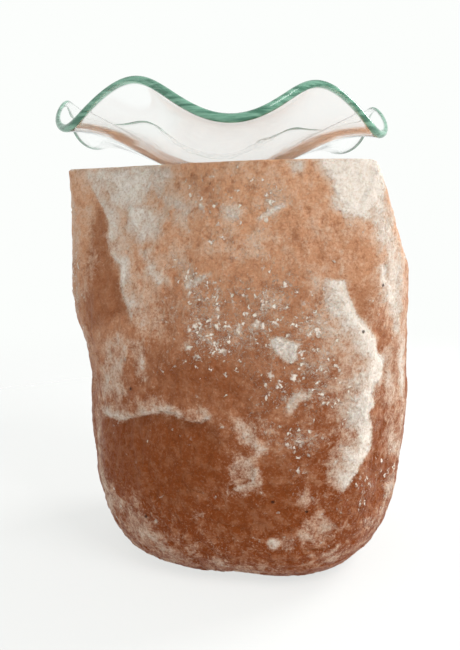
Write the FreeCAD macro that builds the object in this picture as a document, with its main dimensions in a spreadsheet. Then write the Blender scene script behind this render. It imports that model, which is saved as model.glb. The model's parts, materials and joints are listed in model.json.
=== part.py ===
"""Salt crystal lamp with a loose six-wave glass dish on top.

The crystal stands on four pads. A bore is drilled up into it from below and takes a small
screw lampholder, which a three-wing spring clip holds. A narrower shaft goes on up to the flat
top, so that the bulb warms the dish. The front faces -Y and Z is up. The origin is on the
table, under the axis of the bore. All sizes are millimetres and degrees.
"""

import FreeCAD, Part
import math
import os
import Sketcher

# name, size, what it belongs to
SIZES = [
    ("crystal_width", 143.0, "crystal, left to right"),
    ("crystal_depth", 124.0, "crystal, front to back"),
    ("crystal_height", 161.3, "crystal, from its underside to its flat top"),
    ("bore_diameter", 50.0, "bore for the lampholder"),
    ("bore_headroom", 2.5, "free height over the bulb once it is unscrewed"),
    ("mouth_chamfer", 2.0, "chamfer at the mouth of the bore"),
    ("flake_depth", 2.6, "how deep the deepest flake broke off the crystal"),
    ("shaft_diameter", 22.0, "warm air shaft from the bore to the top"),
    ("groove_width", 10.0, "cord groove across the underside, at the back"),
    ("groove_height", 9.0, "cord groove, from the underside to its roof"),
    ("pad_diameter", 9.0, "foot pad"),
    ("pad_height", 2.0, "foot pad"),
    ("pad_margin", 1.5, "salt between a foot pad and the chamfer of the bore"),
    ("dish_radius", 66.0, "dish, mean radius of its rim"),
    ("dish_foot_radius", 20.0, "flat round foot of the dish"),
    ("dish_height", 16.9, "dish, from its foot to the mean height of the rim's underside"),
    ("dish_thickness", 3.0, "glass of the dish"),
    ("dish_wave", 6.8, "rim waves, half of their height"),
    ("dish_wave_reach", 1.3, "how much further out a trough of the rim lies than the mean"),
    ("dish_lean", 0.86, "how much higher the left side of the rim is than the mean"),
    ("dish_offset", 6.2, "axis of the dish, to the left of the bore"),
    ("cord_space", 10.0, "room under the gland, where the cord bends"),
    ("cord_hole_radius", 3.5, "hole for the flex through the gland"),
    ("thread_gap", 0.1, "radial gap between parts that screw together"),
    ("fit_gap", 0.1, "gap between parts that slide together"),
    ("gland_nut_radius", 8.0, "clamping nut"),
    ("gland_nut_height", 9.5, "clamping nut"),
    ("gland_nut_floor", 1.5, "clamping nut"),
    ("gland_tail_radius", 5.5, "tail of the gland, inside the clamping nut"),
    ("gland_tail_length", 5.5, "tail of the gland"),
    ("gland_hex", 14.0, "gland flange across the flats"),
    ("gland_hex_height", 2.5, "gland flange"),
    ("nipple_radius", 5.0, "threaded nipple of the gland, through the holder cap"),
    ("nipple_length", 7.0, "threaded nipple, over the flange"),
    ("lock_nut_hex", 14.0, "lock nut across the flats"),
    ("lock_nut_height", 3.0, "lock nut"),
    ("cap_radius", 15.2, "holder cap"),
    ("cap_height", 20.0, "holder cap"),
    ("cap_wall", 1.9, "holder cap"),
    ("cap_floor", 2.5, "holder cap"),
    ("cap_ledge", 2.2, "ledge in the cap, under the terminal block"),
    ("sleeve_radius", 14.0, "holder sleeve"),
    ("sleeve_height", 26.0, "holder sleeve, over the cap"),
    ("sleeve_wall", 2.0, "holder sleeve"),
    ("sleeve_spigot", 5.0, "how far the sleeve goes into the cap"),
    ("sleeve_stop", 1.5, "rim inside the sleeve that keeps the terminal block down"),
    ("collar_radius", 17.0, "collar of the sleeve, under the spring clip"),
    ("collar_height", 3.0, "collar of the sleeve"),
    ("collar_place", 8.0, "from the cap to the underside of the collar"),
    ("block_height", 12.0, "terminal block"),
    ("block_over_cap", 3.0, "how far the terminal block stands out of the cap"),
    ("block_collar_height", 15.0, "collar of the terminal block, round the threaded shell"),
    ("block_collar_wall", 1.8, "collar of the terminal block"),
    ("shell_height", 16.0, "threaded brass shell"),
    ("shell_wall", 0.5, "threaded brass shell"),
    ("shell_gap", 0.12, "radial gap between the shell and the bulb's thread"),
    ("shell_window", 4.8, "radius of the hole in the floor of the shell"),
    ("shell_rivet_place", 6.0, "rivet of the shell, from the axis"),
    ("leaf_width", 3.6, "centre contact leaf"),
    ("leaf_thickness", 0.5, "centre contact leaf"),
    ("leaf_rise", 1.4, "how far the tongue of the leaf stands up"),
    ("leaf_gap", 0.05, "gap between the leaf and the bulb's tip"),
    ("leaf_rivet_place", 2.9, "rivet of the leaf, from the axis"),
    ("rivet_radius", 0.6, "contact rivet"),
    ("rivet_head_radius", 0.9, "contact rivet"),
    ("rivet_head_height", 0.5, "contact rivet"),
    ("terminal_side", 5.0, "brass terminal, width and depth"),
    ("terminal_height", 7.5, "brass terminal"),
    ("terminal_place", 4.6, "brass terminal, from the axis"),
    ("terminal_recess", 0.5, "how far a terminal lies inside the terminal block"),
    ("wire_hole_radius", 1.3, "wire hole of a terminal"),
    ("screw_radius", 1.3, "terminal screw"),
    ("screw_length", 3.0, "terminal screw, under its head"),
    ("screw_head_radius", 1.9, "terminal screw"),
    ("screw_head_height", 1.6, "terminal screw"),
    ("clip_thickness", 0.6, "spring steel of the clip"),
    ("clip_radius", 19.0, "flat ring of the clip"),
    ("wing_root", 3.0, "where a wing leaves the ring, in from its edge"),
    ("wing_width", 8.0, "wing of the clip"),
    ("wing_drop", 13.0, "from the ring down to the bow of a wing"),
    ("wing_tail", 9.0, "from the bow of a wing down to its end"),
    ("wing_tuck", 2.6, "how far the end of a wing stands in from its bow"),
    ("wing_gap", 0.3, "gap between a wing and the wall of the bore"),
    ("ring_nut_radius", 18.0, "ring nut over the clip"),
    ("ring_nut_height", 5.4, "ring nut"),
    ("flute_radius", 1.4, "grip flute of the ring nut"),
    ("flute_count", 12, "grip flutes of the ring nut"),
    ("bulb_length", 57.0, "bulb, from its tip to its top"),
    ("bulb_radius", 13.0, "bulb"),
    ("bulb_neck", 4.0, "straight neck of the bulb, over its cap"),
    ("bulb_straight", 5.0, "straight side of the bulb, between its shoulder and its dome"),
    ("bulb_wall", 0.8, "glass of the bulb"),
    ("bulb_cap_height", 25.0, "bulb cap, from the tip"),
    ("bulb_cap_wall", 0.4, "bulb cap"),
    ("skirt_radius", 8.5, "skirt at the top of the bulb cap"),
    ("skirt_height", 6.0, "skirt of the bulb cap"),
    ("skirt_flare", 1.2, "height over which the cap widens to its skirt"),
    ("thread_radius", 6.95, "crest of the bulb's thread"),
    ("thread_depth", 0.65, "thread, from crest to root"),
    ("thread_pitch", 2.822, "thread, height of one turn"),
    ("thread_turns", 5.0, "turns that the bulb is screwed in"),
    ("tip_radius", 2.4, "contact tip of the bulb"),
    ("tip_height", 0.9, "contact tip of the bulb"),
    ("insulator_radius", 5.4, "insulator between the tip and the cap"),
    ("insulator_height", 2.2, "insulator between the tip and the cap"),
    ("stem_radius", 2.2, "glass stem in the bulb"),
    ("stem_height", 14.0, "glass stem in the bulb"),
    ("stem_flare", 3.0, "height of the flare that closes the neck"),
    ("lead_radius", 0.35, "lead wire"),
    ("lead_spacing", 2.6, "between the lead wires where they leave the stem"),
    ("lead_straight", 2.0, "straight start of a lead wire"),
    ("lead_rise", 9.0, "height of a lead wire's end over the stem"),
    ("filament_span", 14.0, "between the ends of the lead wires"),
    ("filament_radius", 0.35, "filament"),
    ("filament_arch", 5.0, "how far the filament arches over the ends of the lead wires"),
    ("wire_gap", 0.1, "gap at the ends of the filament and of its support"),
    ("support_radius", 0.2, "filament support"),
]

# Outline of the crystal: its height as a share of the whole, then how far the surface lies from
# the axis of the bore in each direction, as a share of half the width and half the depth.
HEADINGS = [0, 45, 90, 135, 180, 225, 270, 308]
#  height   right back_r back   back_l left   front_l front front_r
OUTLINE = [
    (0.000, (0.79, 0.74, 0.72, 0.66, 0.70, 0.66, 0.69, 0.80)),
    (0.040, (0.88, 0.84, 0.83, 0.76, 0.76, 0.74, 0.79, 0.91)),
    (0.135, (0.98, 0.94, 0.92, 0.88, 0.85, 0.82, 0.88, 1.03)),
    (0.305, (1.03, 0.99, 0.97, 0.94, 0.89, 0.86, 0.94, 1.09)),
    (0.485, (1.03, 1.02, 0.99, 0.97, 0.89, 0.85, 0.95, 1.11)),
    (0.660, (1.01, 1.01, 1.00, 1.00, 0.98, 0.82, 0.93, 1.12)),
    (0.825, (0.99, 0.98, 0.99, 1.00, 1.00, 0.76, 0.88, 1.12)),
    (0.945, (0.94, 0.94, 0.97, 0.97, 0.99, 0.71, 0.83, 1.12)),
    (1.000, (0.91, 0.91, 0.95, 0.94, 0.99, 0.68, 0.80, 1.12)),
]

# Flat breaks in the crystal: the direction of the face and how far it looks upwards, in degrees,
# and its distance from the middle of the crystal, as a share of half the width.
BREAKS = {
    "top_right": (347.0, 20.0, 1.148),
    "upper_left": (235.0, 10.0, 0.779),
    "lower_right": (322.0, -3.0, 0.995),
    "back_right": (48.0, 6.0, 0.895),
    "back_left": (132.0, -5.0, 0.86),
    "back_foot": (88.0, -24.0, 1.007),
}

# Flakes that broke off the crystal: how deep each goes, as a share of the deepest, then the three
# stops of its edge, which is deepest at the middle one, and how far it reaches from there. Each
# stop is a direction in degrees and a share of the crystal's height.
FLAKES = {
    "plate_upper": (1.0, (291, 0.78), (310, 0.63), (319, 0.52), (329, 0.70)),
    "plate_lower": (1.0, (319, 0.54), (313, 0.41), (301, 0.24), (337, 0.36)),
    "shelf_right": (0.95, (260, 0.445), (243, 0.425), (225, 0.412), (242, 0.30)),
    "shelf_left": (0.8, (229, 0.41), (212, 0.385), (192, 0.41), (211, 0.28)),
    "long_ridge": (0.65, (226, 0.57), (208, 0.755), (196, 0.94), (189, 0.70)),
    "right_top": (0.85, (12, 0.81), (42, 0.84), (61, 0.56), (63, 0.87)),
    "back_middle": (0.9, (107, 0.44), (80, 0.44), (46, 0.35), (76, 0.31)),
    "left_back": (0.65, (142, 0.89), (138, 0.66), (138, 0.36), (157, 0.62)),
}
HALVINGS = 30  # steps that find a height on the loft
FLAKE_CLEARANCE = 0.15  # how far a flake's three outer corners lie off the skin, as a share of its depth

WAVES = 6  # troughs and crests round the rim of the dish
FRONT_TROUGH = 271.6  # direction of the trough at the front, degrees
WAVE_SHARPNESS = 0.066  # second harmonic of a wave's height, as a share of its first
REACH_SHARPNESS = -0.46  # the same for its reach
WALL_SWELL = 0.15  # how far the mean wall bulges down under a straight line, as a share
FOOT_SOFTNESS = 0.02  # share of the wall over which it bends up from the foot
DISH_COLUMNS = 48  # points round each ring of the dish
WALL_RINGS = 10  # steps from the foot of the dish to its rim
EDGE_RINGS = 4  # steps round the edge of the glass
EDGE_BULGE = 0.5  # how far the edge bulges outwards, as a share of the thickness
THREAD_RINGS = 5  # rings that stand for the bulb's thread
THREAD_FLANK = 0.35  # each flank of a ring, as a share of the pitch
THROUGH = 3  # a cut through a wall, as a multiple of the wall
WINGS = 3  # wings of the spring clip

document = FreeCAD.newDocument("SaltCrystalLamp")


class Size:
    """A length that carries its number and the expression that it comes from."""

    def __init__(self, text, number):
        self.text = text
        self.number = number

    def joined(self, sign, other, number, swapped=False):
        words = [self.text, other.text if isinstance(other, Size) else repr(float(other))]
        if swapped:
            words.reverse()
        return Size(f"({words[0]} {sign} {words[1]})", number)

    def __add__(self, other):
        return self.joined("+", other, self.number + number_of(other))

    def __sub__(self, other):
        return self.joined("-", other, self.number - number_of(other))

    def __mul__(self, other):
        return self.joined("*", other, self.number * number_of(other))

    def __truediv__(self, other):
        return self.joined("/", other, self.number / number_of(other))

    def __rsub__(self, other):
        return self.joined("-", other, number_of(other) - self.number, swapped=True)

    def __neg__(self):
        return 0.0 - self

    __radd__ = __add__
    __rmul__ = __mul__


def number_of(value):
    return value.number if isinstance(value, Size) else float(value)


class Sheet:
    """Fills the sheet of driving dimensions, and gives each as an attribute, such as s.bulb_length."""

    def __init__(self, rows):
        sheet = document.addObject("Spreadsheet::Sheet", "Sizes")
        for row, (name, number, note) in enumerate(rows, start=1):
            sheet.set(f"A{row}", name)
            sheet.set(f"B{row}", str(number))
            sheet.set(f"C{row}", note)
            sheet.setAlias(f"B{row}", name)
            setattr(self, name, Size(f"Sizes.{name}", float(number)))
        document.recompute()


s = Sheet(SIZES)
ZERO = Size("0.0", 0.0)

# Heights over the underside of the crystal, from the bottom of the bore up.
GLAND_NUT_Z = s.cord_space
GLAND_BODY_Z = GLAND_NUT_Z + s.gland_nut_height
CAP_Z = GLAND_BODY_Z + s.gland_hex_height
SLEEVE_Z = CAP_Z + s.cap_height
BLOCK_TOP_Z = SLEEVE_Z + s.block_over_cap
BLOCK_Z = BLOCK_TOP_Z - s.block_height
CLIP_Z = SLEEVE_Z + s.collar_place + s.collar_height
RING_NUT_Z = CLIP_Z + s.clip_thickness
TIP_Z = BLOCK_TOP_Z + s.leaf_rise + s.leaf_thickness + s.leaf_gap
BULB_TRAVEL = s.thread_pitch * s.thread_turns
BORE_DEPTH = TIP_Z + s.bulb_length + BULB_TRAVEL + s.bore_headroom

# Radii that follow from others.
BORE_RADIUS = s.bore_diameter / 2
SHELL_BORE = s.thread_radius + s.shell_gap
SHELL_RADIUS = SHELL_BORE + s.shell_wall
SLEEVE_BORE = s.sleeve_radius - s.sleeve_wall
CAP_BORE = s.cap_radius - s.cap_wall
THREAD_ROOT = s.thread_radius - s.thread_depth
BULB_NECK_RADIUS = s.skirt_radius - s.bulb_cap_wall - s.fit_gap
SKIRT_FLOOR = s.bulb_cap_height - s.skirt_height + s.bulb_cap_wall


# ---------------------------------------------------------------- building blocks


def place(thing, x=ZERO, y=ZERO, z=ZERO):
    """Binds where a thing stands. Heights count from the underside of the crystal."""
    for axis, value in (("x", x), ("y", y), ("z", s.pad_height + z)):
        thing.setExpression(f"Placement.Base.{axis}", value.text)


def origin_item(body, role):
    return next(item for item in body.Origin.OriginFeatures if item.Role == role)


def new_body(label, z=ZERO):
    """An empty body on the axis of the bore."""
    body = document.addObject("PartDesign::Body", label)
    body.Label = label
    place(body, z=z)
    return body


def new_sketch(body, name, role):
    sketch = body.newObject("Sketcher::SketchObject", name)
    sketch.AttachmentSupport = [(origin_item(body, role), "")]
    sketch.MapMode = "FlatFace"
    return sketch


def bind_point(sketch, element, point, u=None, v=None):
    """Holds a point of a sketch at bound distances from the origin, or on an axis where they are 0."""
    for kind, value, axis in (("DistanceX", u, -2), ("DistanceY", v, -1)):
        if value is None:
            continue
        if number_of(value) == 0:
            sketch.addConstraint(Sketcher.Constraint("PointOnObject", element, point, axis))
            continue
        held = Sketcher.Constraint(kind, -1, 1, element, point, number_of(value))
        index = sketch.addConstraint(held)
        if isinstance(value, Size):
            sketch.setExpression(f"Constraints[{index}]", value.text)


def flat(u, v):
    return FreeCAD.Vector(number_of(u), number_of(v), 0)


def draw_outline(sketch, corners):
    """Draws a closed outline of straight edges through bound corners (u, v).

    A corner may carry a third value. The edge that leaves it is then a quarter circle round
    that height on the V axis, and whichever of its ends lies on the axis is left to the arc.
    """
    count = len(corners)
    for i, corner in enumerate(corners):
        following = corners[(i + 1) % count]
        if len(corner) == 2:
            sketch.addGeometry(Part.LineSegment(flat(*corner), flat(*following[:2])), False)
            continue
        low = corner if number_of(corner[0]) > 0 else following
        radius = number_of(low[0])
        circle = Part.Circle(flat(0.0, corner[2]), FreeCAD.Vector(0, 0, 1), radius)
        sketch.addGeometry(Part.ArcOfCircle(circle, 0.0, math.pi / 2), False)
        bind_point(sketch, i, 3, 0.0, corner[2])

    def end_of(i, leaving):
        """Which end of edge i is its start: an arc runs from the outside up to the axis."""
        inwards = len(corners[i]) == 2 or number_of(corners[i][0]) > 0
        return (1 if leaving else 2) if inwards else (2 if leaving else 1)

    for i, corner in enumerate(corners):
        before = (i - 1) % count
        joint = (before, end_of(before, False), i, end_of(i, True))
        sketch.addConstraint(Sketcher.Constraint("Coincident", *joint))
        on_arc = len(corner) == 3 or len(corners[before]) == 3
        free = on_arc and number_of(corner[0]) == 0
        bind_point(sketch, i, end_of(i, True), corner[0], None if free else corner[1])


def draw_circle(sketch, radius, u=ZERO, v=ZERO):
    circle = Part.Circle(flat(u, v), FreeCAD.Vector(0, 0, 1), number_of(radius))
    index = sketch.addGeometry(circle, False)
    bind_point(sketch, index, 3, u, v)
    held = sketch.addConstraint(Sketcher.Constraint("Radius", index, number_of(radius)))
    sketch.setExpression(f"Constraints[{held}]", radius.text)


def draw_hexagon(sketch, across_flats):
    """Draws a hexagon round the origin, with two of its flats square to the V axis."""
    corner = across_flats / math.sqrt(3)
    half = across_flats / 2
    draw_outline(
        sketch,
        [
            (corner, 0.0),
            (corner / 2, half),
            (-corner / 2, half),
            (-corner, 0.0),
            (-corner / 2, -half),
            (corner / 2, -half),
        ],
    )


def turned(label, corners, z):
    """A body turned about the axis of the bore, from an outline of (radius, height) corners."""
    body = new_body(label, z)
    sketch = new_sketch(body, "Outline", "XZ_Plane")
    draw_outline(sketch, corners)
    feature = body.newObject("PartDesign::Revolution", "Turning")
    feature.Profile = sketch
    feature.ReferenceAxis = (sketch, ["V_Axis"])
    feature.Angle = 360.0
    return body


def add_feature(body, kind, sketch, length, name, both_ways=False, backwards=False):
    """A pad or pocket whose length is bound."""
    feature = body.newObject(f"PartDesign::{kind}", name)
    feature.Profile = sketch
    feature.Midplane = both_ways
    feature.Reversed = backwards
    feature.setExpression("Length", length.text)
    return feature


def repeat_round(body, feature, count):
    """Repeats a feature of the body round its own upright axis."""
    pattern = body.newObject("PartDesign::PolarPattern", f"{feature.Name}Pattern")
    pattern.Originals = [feature]
    pattern.Axis = (origin_item(body, "Z_Axis"), [""])
    pattern.Angle = 360.0
    if isinstance(count, Size):
        pattern.setExpression("Occurrences", count.text)
    else:
        pattern.Occurrences = count
    body.Tip = pattern


def cylinder(name, radius, height, x=ZERO, y=ZERO, z=ZERO, forwards=False):
    """An upright cylinder, or one that runs towards the back from its place."""
    solid = document.addObject("Part::Cylinder", name)
    solid.setExpression("Radius", radius.text)
    solid.setExpression("Height", height.text)
    if forwards:
        solid.Placement.Rotation = FreeCAD.Rotation(FreeCAD.Vector(1, 0, 0), -90)
    place(solid, x, y, z)
    return solid


def box(name, length, width, height, x, y, z):
    """A block, placed by its lowest corner."""
    solid = document.addObject("Part::Box", name)
    for side, value in (("Length", length), ("Width", width), ("Height", height)):
        solid.setExpression(side, value.text)
    place(solid, x, y, z)
    return solid


def fused(name, pieces):
    feature = document.addObject("Part::MultiFuse", name)
    feature.Shapes = pieces
    feature.Label = name
    return feature


def cut(name, base, tool):
    feature = document.addObject("Part::Cut", name)
    feature.Base = base
    feature.Tool = tool
    feature.Label = name
    return feature


def free_form(name, shape, x=ZERO, y=ZERO, z=ZERO):
    """A shape worked out from the sizes, put in its place."""
    feature = document.addObject("Part::Feature", name)
    feature.Shape = shape
    feature.Label = name
    place(feature, x, y, z)
    return feature


def smooth_ring(points):
    """A closed smooth curve through points that are evenly spaced in their parameter."""
    curve = Part.BSplineCurve()
    stops = [float(i) for i in range(len(points) + 1)]
    curve.interpolate(Points=points, PeriodicFlag=True, Parameters=stops)
    return Part.Wire(curve.toShape())


# ---------------------------------------------------------------- crystal


def crystal_section(share, reaches):
    """The outline of the crystal at one height."""
    points = []
    for heading, reach in zip(HEADINGS, reaches):
        angle = math.radians(heading)
        x = reach * math.cos(angle) * s.crystal_width.number / 2
        y = reach * math.sin(angle) * s.crystal_depth.number / 2
        points.append(FreeCAD.Vector(x, y, share * s.crystal_height.number))
    return smooth_ring(points)


def break_waste(heading, upwards, share):
    """The half space outside one flat break, as a block larger than the crystal."""
    flat_part = math.cos(math.radians(upwards))
    outward = FreeCAD.Vector(
        flat_part * math.cos(math.radians(heading)),
        flat_part * math.sin(math.radians(heading)),
        math.sin(math.radians(upwards)),
    )
    side = 2 * (s.crystal_width.number + s.crystal_height.number)
    middle = FreeCAD.Vector(0, 0, s.crystal_height.number / 2)
    corner = FreeCAD.Vector(-side / 2, -side / 2, 0)
    waste = Part.makeBox(side, side, side, corner)
    waste.Placement = FreeCAD.Placement(
        middle + outward * (share * s.crystal_width.number / 2),
        FreeCAD.Rotation(FreeCAD.Vector(0, 0, 1), outward),
    )
    return waste


def skin_point(loft, around, height, lift):
    """A point of the crystal's skin, in millimetres round it and up it, lifted off it by lift.

    The loft's first parameter counts the headings, and its second is halved down to the height.
    Past a flat break, the point is drawn in to the flat.
    """
    heading = math.degrees(around / (s.crystal_width.number / 2)) % 360
    low = max(index for index, stop in enumerate(HEADINGS) if stop <= heading)
    stops = [*HEADINGS, 360]
    turn = low + (heading - stops[low]) / (stops[low + 1] - stops[low])
    first, last, bottom, top = loft.bounds()
    for _ in range(HALVINGS):
        middle = (bottom + top) / 2
        point = loft.value(first + (last - first) * turn / len(HEADINGS), middle)
        bottom, top = (middle, top) if point.z < height else (bottom, middle)
    outward = FreeCAD.Vector(point.x, point.y, 0).normalize()
    reach = math.hypot(point.x, point.y)
    for direction, upwards, share in BREAKS.values():
        level = math.cos(math.radians(upwards))
        facing = level * math.cos(math.atan2(outward.y, outward.x) - math.radians(direction))
        rise = math.sin(math.radians(upwards)) * (height - s.crystal_height.number / 2)
        if facing > 0:
            reach = min(reach, (share * s.crystal_width.number / 2 - rise) / facing)
    return outward * (reach + lift) + FreeCAD.Vector(0, 0, height)


def flake_waste(loft, depth_share, *stops):
    """What breaks off in one flake: a prism over four corners, whose floor dips to the second.

    The four corners are three stops along the flake's edge and one at its reach. The floor is two
    flat faces that meet in a line from the deepest stop, so it has the hollow of a real break.
    """
    depth = depth_share * s.flake_depth.number
    half, height = s.crystal_width.number / 2, s.crystal_height.number
    lifts = [FLAKE_CLEARANCE * depth, -depth, FLAKE_CLEARANCE * depth, FLAKE_CLEARANCE * depth]
    floor = [
        skin_point(loft, math.radians(heading) * half, share * height, lift)
        for (heading, share), lift in zip(stops, lifts)
    ]
    outward = FreeCAD.Vector(floor[1].x, floor[1].y, 0).normalize() * (s.crystal_width.number / 4)
    start, deep, end, far = floor
    top = [corner + outward for corner in floor]
    outlines = [(start, deep, far), (deep, end, far)]
    sides = [(start, deep), (deep, end), (end, far), (far, start)]
    outlines += [(one, two, two + outward, one + outward) for one, two in sides]
    outlines += [(top[0], top[1], top[3]), (top[1], top[2], top[3])]
    faces = [Part.Face(Part.makePolygon([*corners, corners[0]])) for corners in outlines]
    shell = Part.makeShell(faces)
    shell.sewShape()
    waste = Part.makeSolid(shell)
    if waste.Volume < 0:
        waste.reverse()
    return waste


def make_crystal():
    """A lump of salt with flat breaks and flakes off it, then its bore, air shaft and groove."""
    lump = Part.makeLoft([crystal_section(*level) for level in OUTLINE], True, False)
    loft = lump.Faces[0].Surface
    for heading, upwards, share in BREAKS.values():
        lump = lump.cut(break_waste(heading, upwards, share))
    flakes = [flake_waste(loft, *flake) for flake in FLAKES.values()]
    blank = free_form("crystal_blank", lump.cut(flakes))
    bore = cylinder("bore", BORE_RADIUS, BORE_DEPTH)
    mouth = document.addObject("Part::Cone", "bore_mouth")
    mouth.setExpression("Radius1", (BORE_RADIUS + s.mouth_chamfer).text)
    mouth.setExpression("Radius2", BORE_RADIUS.text)
    mouth.setExpression("Height", s.mouth_chamfer.text)
    place(mouth)
    shaft = cylinder("warm_air_shaft", s.shaft_diameter / 2, s.crystal_height * THROUGH)
    half_groove = s.groove_width / 2
    groove = box(
        "cord_groove", s.groove_width, s.crystal_depth, s.groove_height, -half_groove, ZERO, ZERO
    )
    return cut("salt_crystal", blank, fused("drilling", [bore, mouth, shaft, groove]))


def make_foot_pads():
    """Four pads round the bore, between its chamfer and the edge of the underside."""
    reach = BORE_RADIUS + s.mouth_chamfer + s.pad_margin + s.pad_diameter / 2
    corners = {"back_right": 45, "back_left": 135, "front_left": 225, "front_right": 315}
    pads = []
    for name, heading in corners.items():
        body = new_body(f"foot_pad_{name}", z=-s.pad_height)
        sketch = new_sketch(body, "Outline", "XY_Plane")
        angle = math.radians(heading)
        draw_circle(
            sketch, s.pad_diameter / 2, reach * math.cos(angle), reach * math.sin(angle)
        )
        add_feature(body, "Pad", sketch, s.pad_height, "Pad")
        pads.append(body)
    return pads


# ---------------------------------------------------------------- glass dish


def dish_point(share, angle):
    """A point of the dish's underside, where share is 0 at the foot and 1 at the rim.

    The mean wall rises by share * (1 + swell - swell * share ** 3), softened next to the foot.
    Six waves grow with the cube of the share, and one trough faces the front.
    """
    turn = WAVES * (angle - math.radians(FRONT_TROUGH))
    first = math.cos(turn)
    second = math.cos(2 * turn)
    reach = s.dish_radius.number + s.dish_wave_reach.number * (first + REACH_SHARPNESS * second)
    radius = s.dish_foot_radius.number + share * (reach - s.dish_foot_radius.number)
    soft = (1 + FOOT_SOFTNESS) * share / (share + FOOT_SOFTNESS)
    swell = 1 + WALL_SWELL - WALL_SWELL * share**3
    rise = s.dish_height.number * share * soft * swell
    wave = s.dish_wave.number * share**3 * (WAVE_SHARPNESS * second - first)
    lean = -s.dish_lean.number * share**3 * math.cos(angle)
    return FreeCAD.Vector(radius * math.cos(angle), radius * math.sin(angle), rise + wave + lean)


def dish_directions(share, angle):
    """The directions outwards along the glass and straight up through it."""
    step = 1e-3
    inner = max(share - step, 0.0)
    outwards = (dish_point(inner + step, angle) - dish_point(inner, angle)).normalize()
    around = dish_point(share, angle + step) - dish_point(share, angle - step)
    if share == 0.0:
        return outwards, FreeCAD.Vector(0, 0, 1)
    return outwards, outwards.cross(around).normalize()


def make_dish():
    """Three skins between smooth rings, underside, rounded edge and upper side, closed by the foot."""
    thickness = s.dish_thickness.number

    def ring(share, depth, bulge=0.0):
        """A ring of the glass: depth is 0 on the underside and 1 on the upper side."""
        points = []
        for column in range(DISH_COLUMNS):
            angle = 2 * math.pi * column / DISH_COLUMNS
            outwards, through = dish_directions(share, angle)
            offset = through * (depth * thickness) + outwards * (bulge * thickness)
            points.append(dish_point(share, angle) + offset)
        return smooth_ring(points)

    shares = [step / WALL_RINGS for step in range(WALL_RINGS + 1)]
    lower = [ring(share, 0.0) for share in shares]
    upper = [ring(share, 1.0) for share in shares]
    edge = [lower[-1]]
    for step in range(1, EDGE_RINGS):
        turn = math.pi * step / EDGE_RINGS
        edge.append(ring(1.0, (1 - math.cos(turn)) / 2, EDGE_BULGE * math.sin(turn)))
    edge.append(upper[-1])
    skins = [Part.makeLoft(rings, False, False) for rings in (lower, edge, upper)]
    faces = [face for skin in skins for face in skin.Faces]
    shell = Part.makeShell(faces + [Part.Face(lower[0]), Part.Face(upper[0])])
    shell.sewShape()
    glass = Part.makeSolid(shell)
    if glass.Volume < 0:
        glass.reverse()
    return free_form("glass_dish", glass, x=-s.dish_offset, z=s.crystal_height)


# ---------------------------------------------------------------- cord gland


def make_gland():
    """Clamping nut, seal, gland body and lock nut: where the flex enters the holder."""
    hole = s.cord_hole_radius
    nut_bore = s.gland_tail_radius + s.thread_gap
    nut = turned(
        "gland_nut",
        [
            (hole, 0.0),
            (s.gland_nut_radius, 0.0),
            (s.gland_nut_radius, s.gland_nut_height),
            (nut_bore, s.gland_nut_height),
            (nut_bore, s.gland_nut_floor),
            (hole, s.gland_nut_floor),
        ],
        GLAND_NUT_Z,
    )
    seal_height = s.gland_nut_height - s.gland_nut_floor - s.gland_tail_length
    seal = turned(
        "gland_seal",
        [
            (hole, 0.0),
            (s.gland_tail_radius, 0.0),
            (s.gland_tail_radius, seal_height),
            (hole, seal_height),
        ],
        GLAND_NUT_Z + s.gland_nut_floor,
    )
    body = new_body("gland_body", GLAND_BODY_Z)
    flange = new_sketch(body, "FlangeOutline", "XY_Plane")
    draw_hexagon(flange, s.gland_hex)
    add_feature(body, "Pad", flange, s.gland_hex_height, "Flange")
    tail = new_sketch(body, "TailOutline", "XY_Plane")
    draw_circle(tail, s.gland_tail_radius)
    add_feature(body, "Pad", tail, s.gland_tail_length, "Tail", backwards=True)
    nipple = new_sketch(body, "NippleOutline", "XY_Plane")
    draw_circle(nipple, s.nipple_radius)
    nipple_top = s.gland_hex_height + s.nipple_length
    add_feature(body, "Pad", nipple, nipple_top, "Nipple")
    opening = new_sketch(body, "CordHoleOutline", "XY_Plane")
    draw_circle(opening, hole)
    whole = (s.gland_tail_length + nipple_top) * THROUGH
    add_feature(body, "Pocket", opening, whole, "CordHole", both_ways=True)
    lock_nut = new_body("gland_lock_nut", CAP_Z + s.cap_floor)
    hexagon = new_sketch(lock_nut, "Outline", "XY_Plane")
    draw_hexagon(hexagon, s.lock_nut_hex)
    draw_circle(hexagon, s.nipple_radius + s.thread_gap)
    add_feature(lock_nut, "Pad", hexagon, s.lock_nut_height, "Pad")
    return [nut, seal, body, lock_nut]


# ---------------------------------------------------------------- lampholder


def make_holder_cap():
    """Cup at the foot of the holder, with a hole for the gland and a ledge for the block."""
    hole = s.nipple_radius + s.thread_gap
    ledge_top = BLOCK_Z - CAP_Z
    return turned(
        "holder_cap",
        [
            (hole, 0.0),
            (s.cap_radius - s.cap_wall, 0.0),
            (s.cap_radius, s.cap_wall),
            (s.cap_radius, s.cap_height),
            (CAP_BORE, s.cap_height),
            (CAP_BORE, ledge_top),
            (CAP_BORE - s.cap_ledge, ledge_top),
            (CAP_BORE - s.cap_ledge, s.cap_floor),
            (hole, s.cap_floor),
        ],
        CAP_Z,
    )


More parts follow.
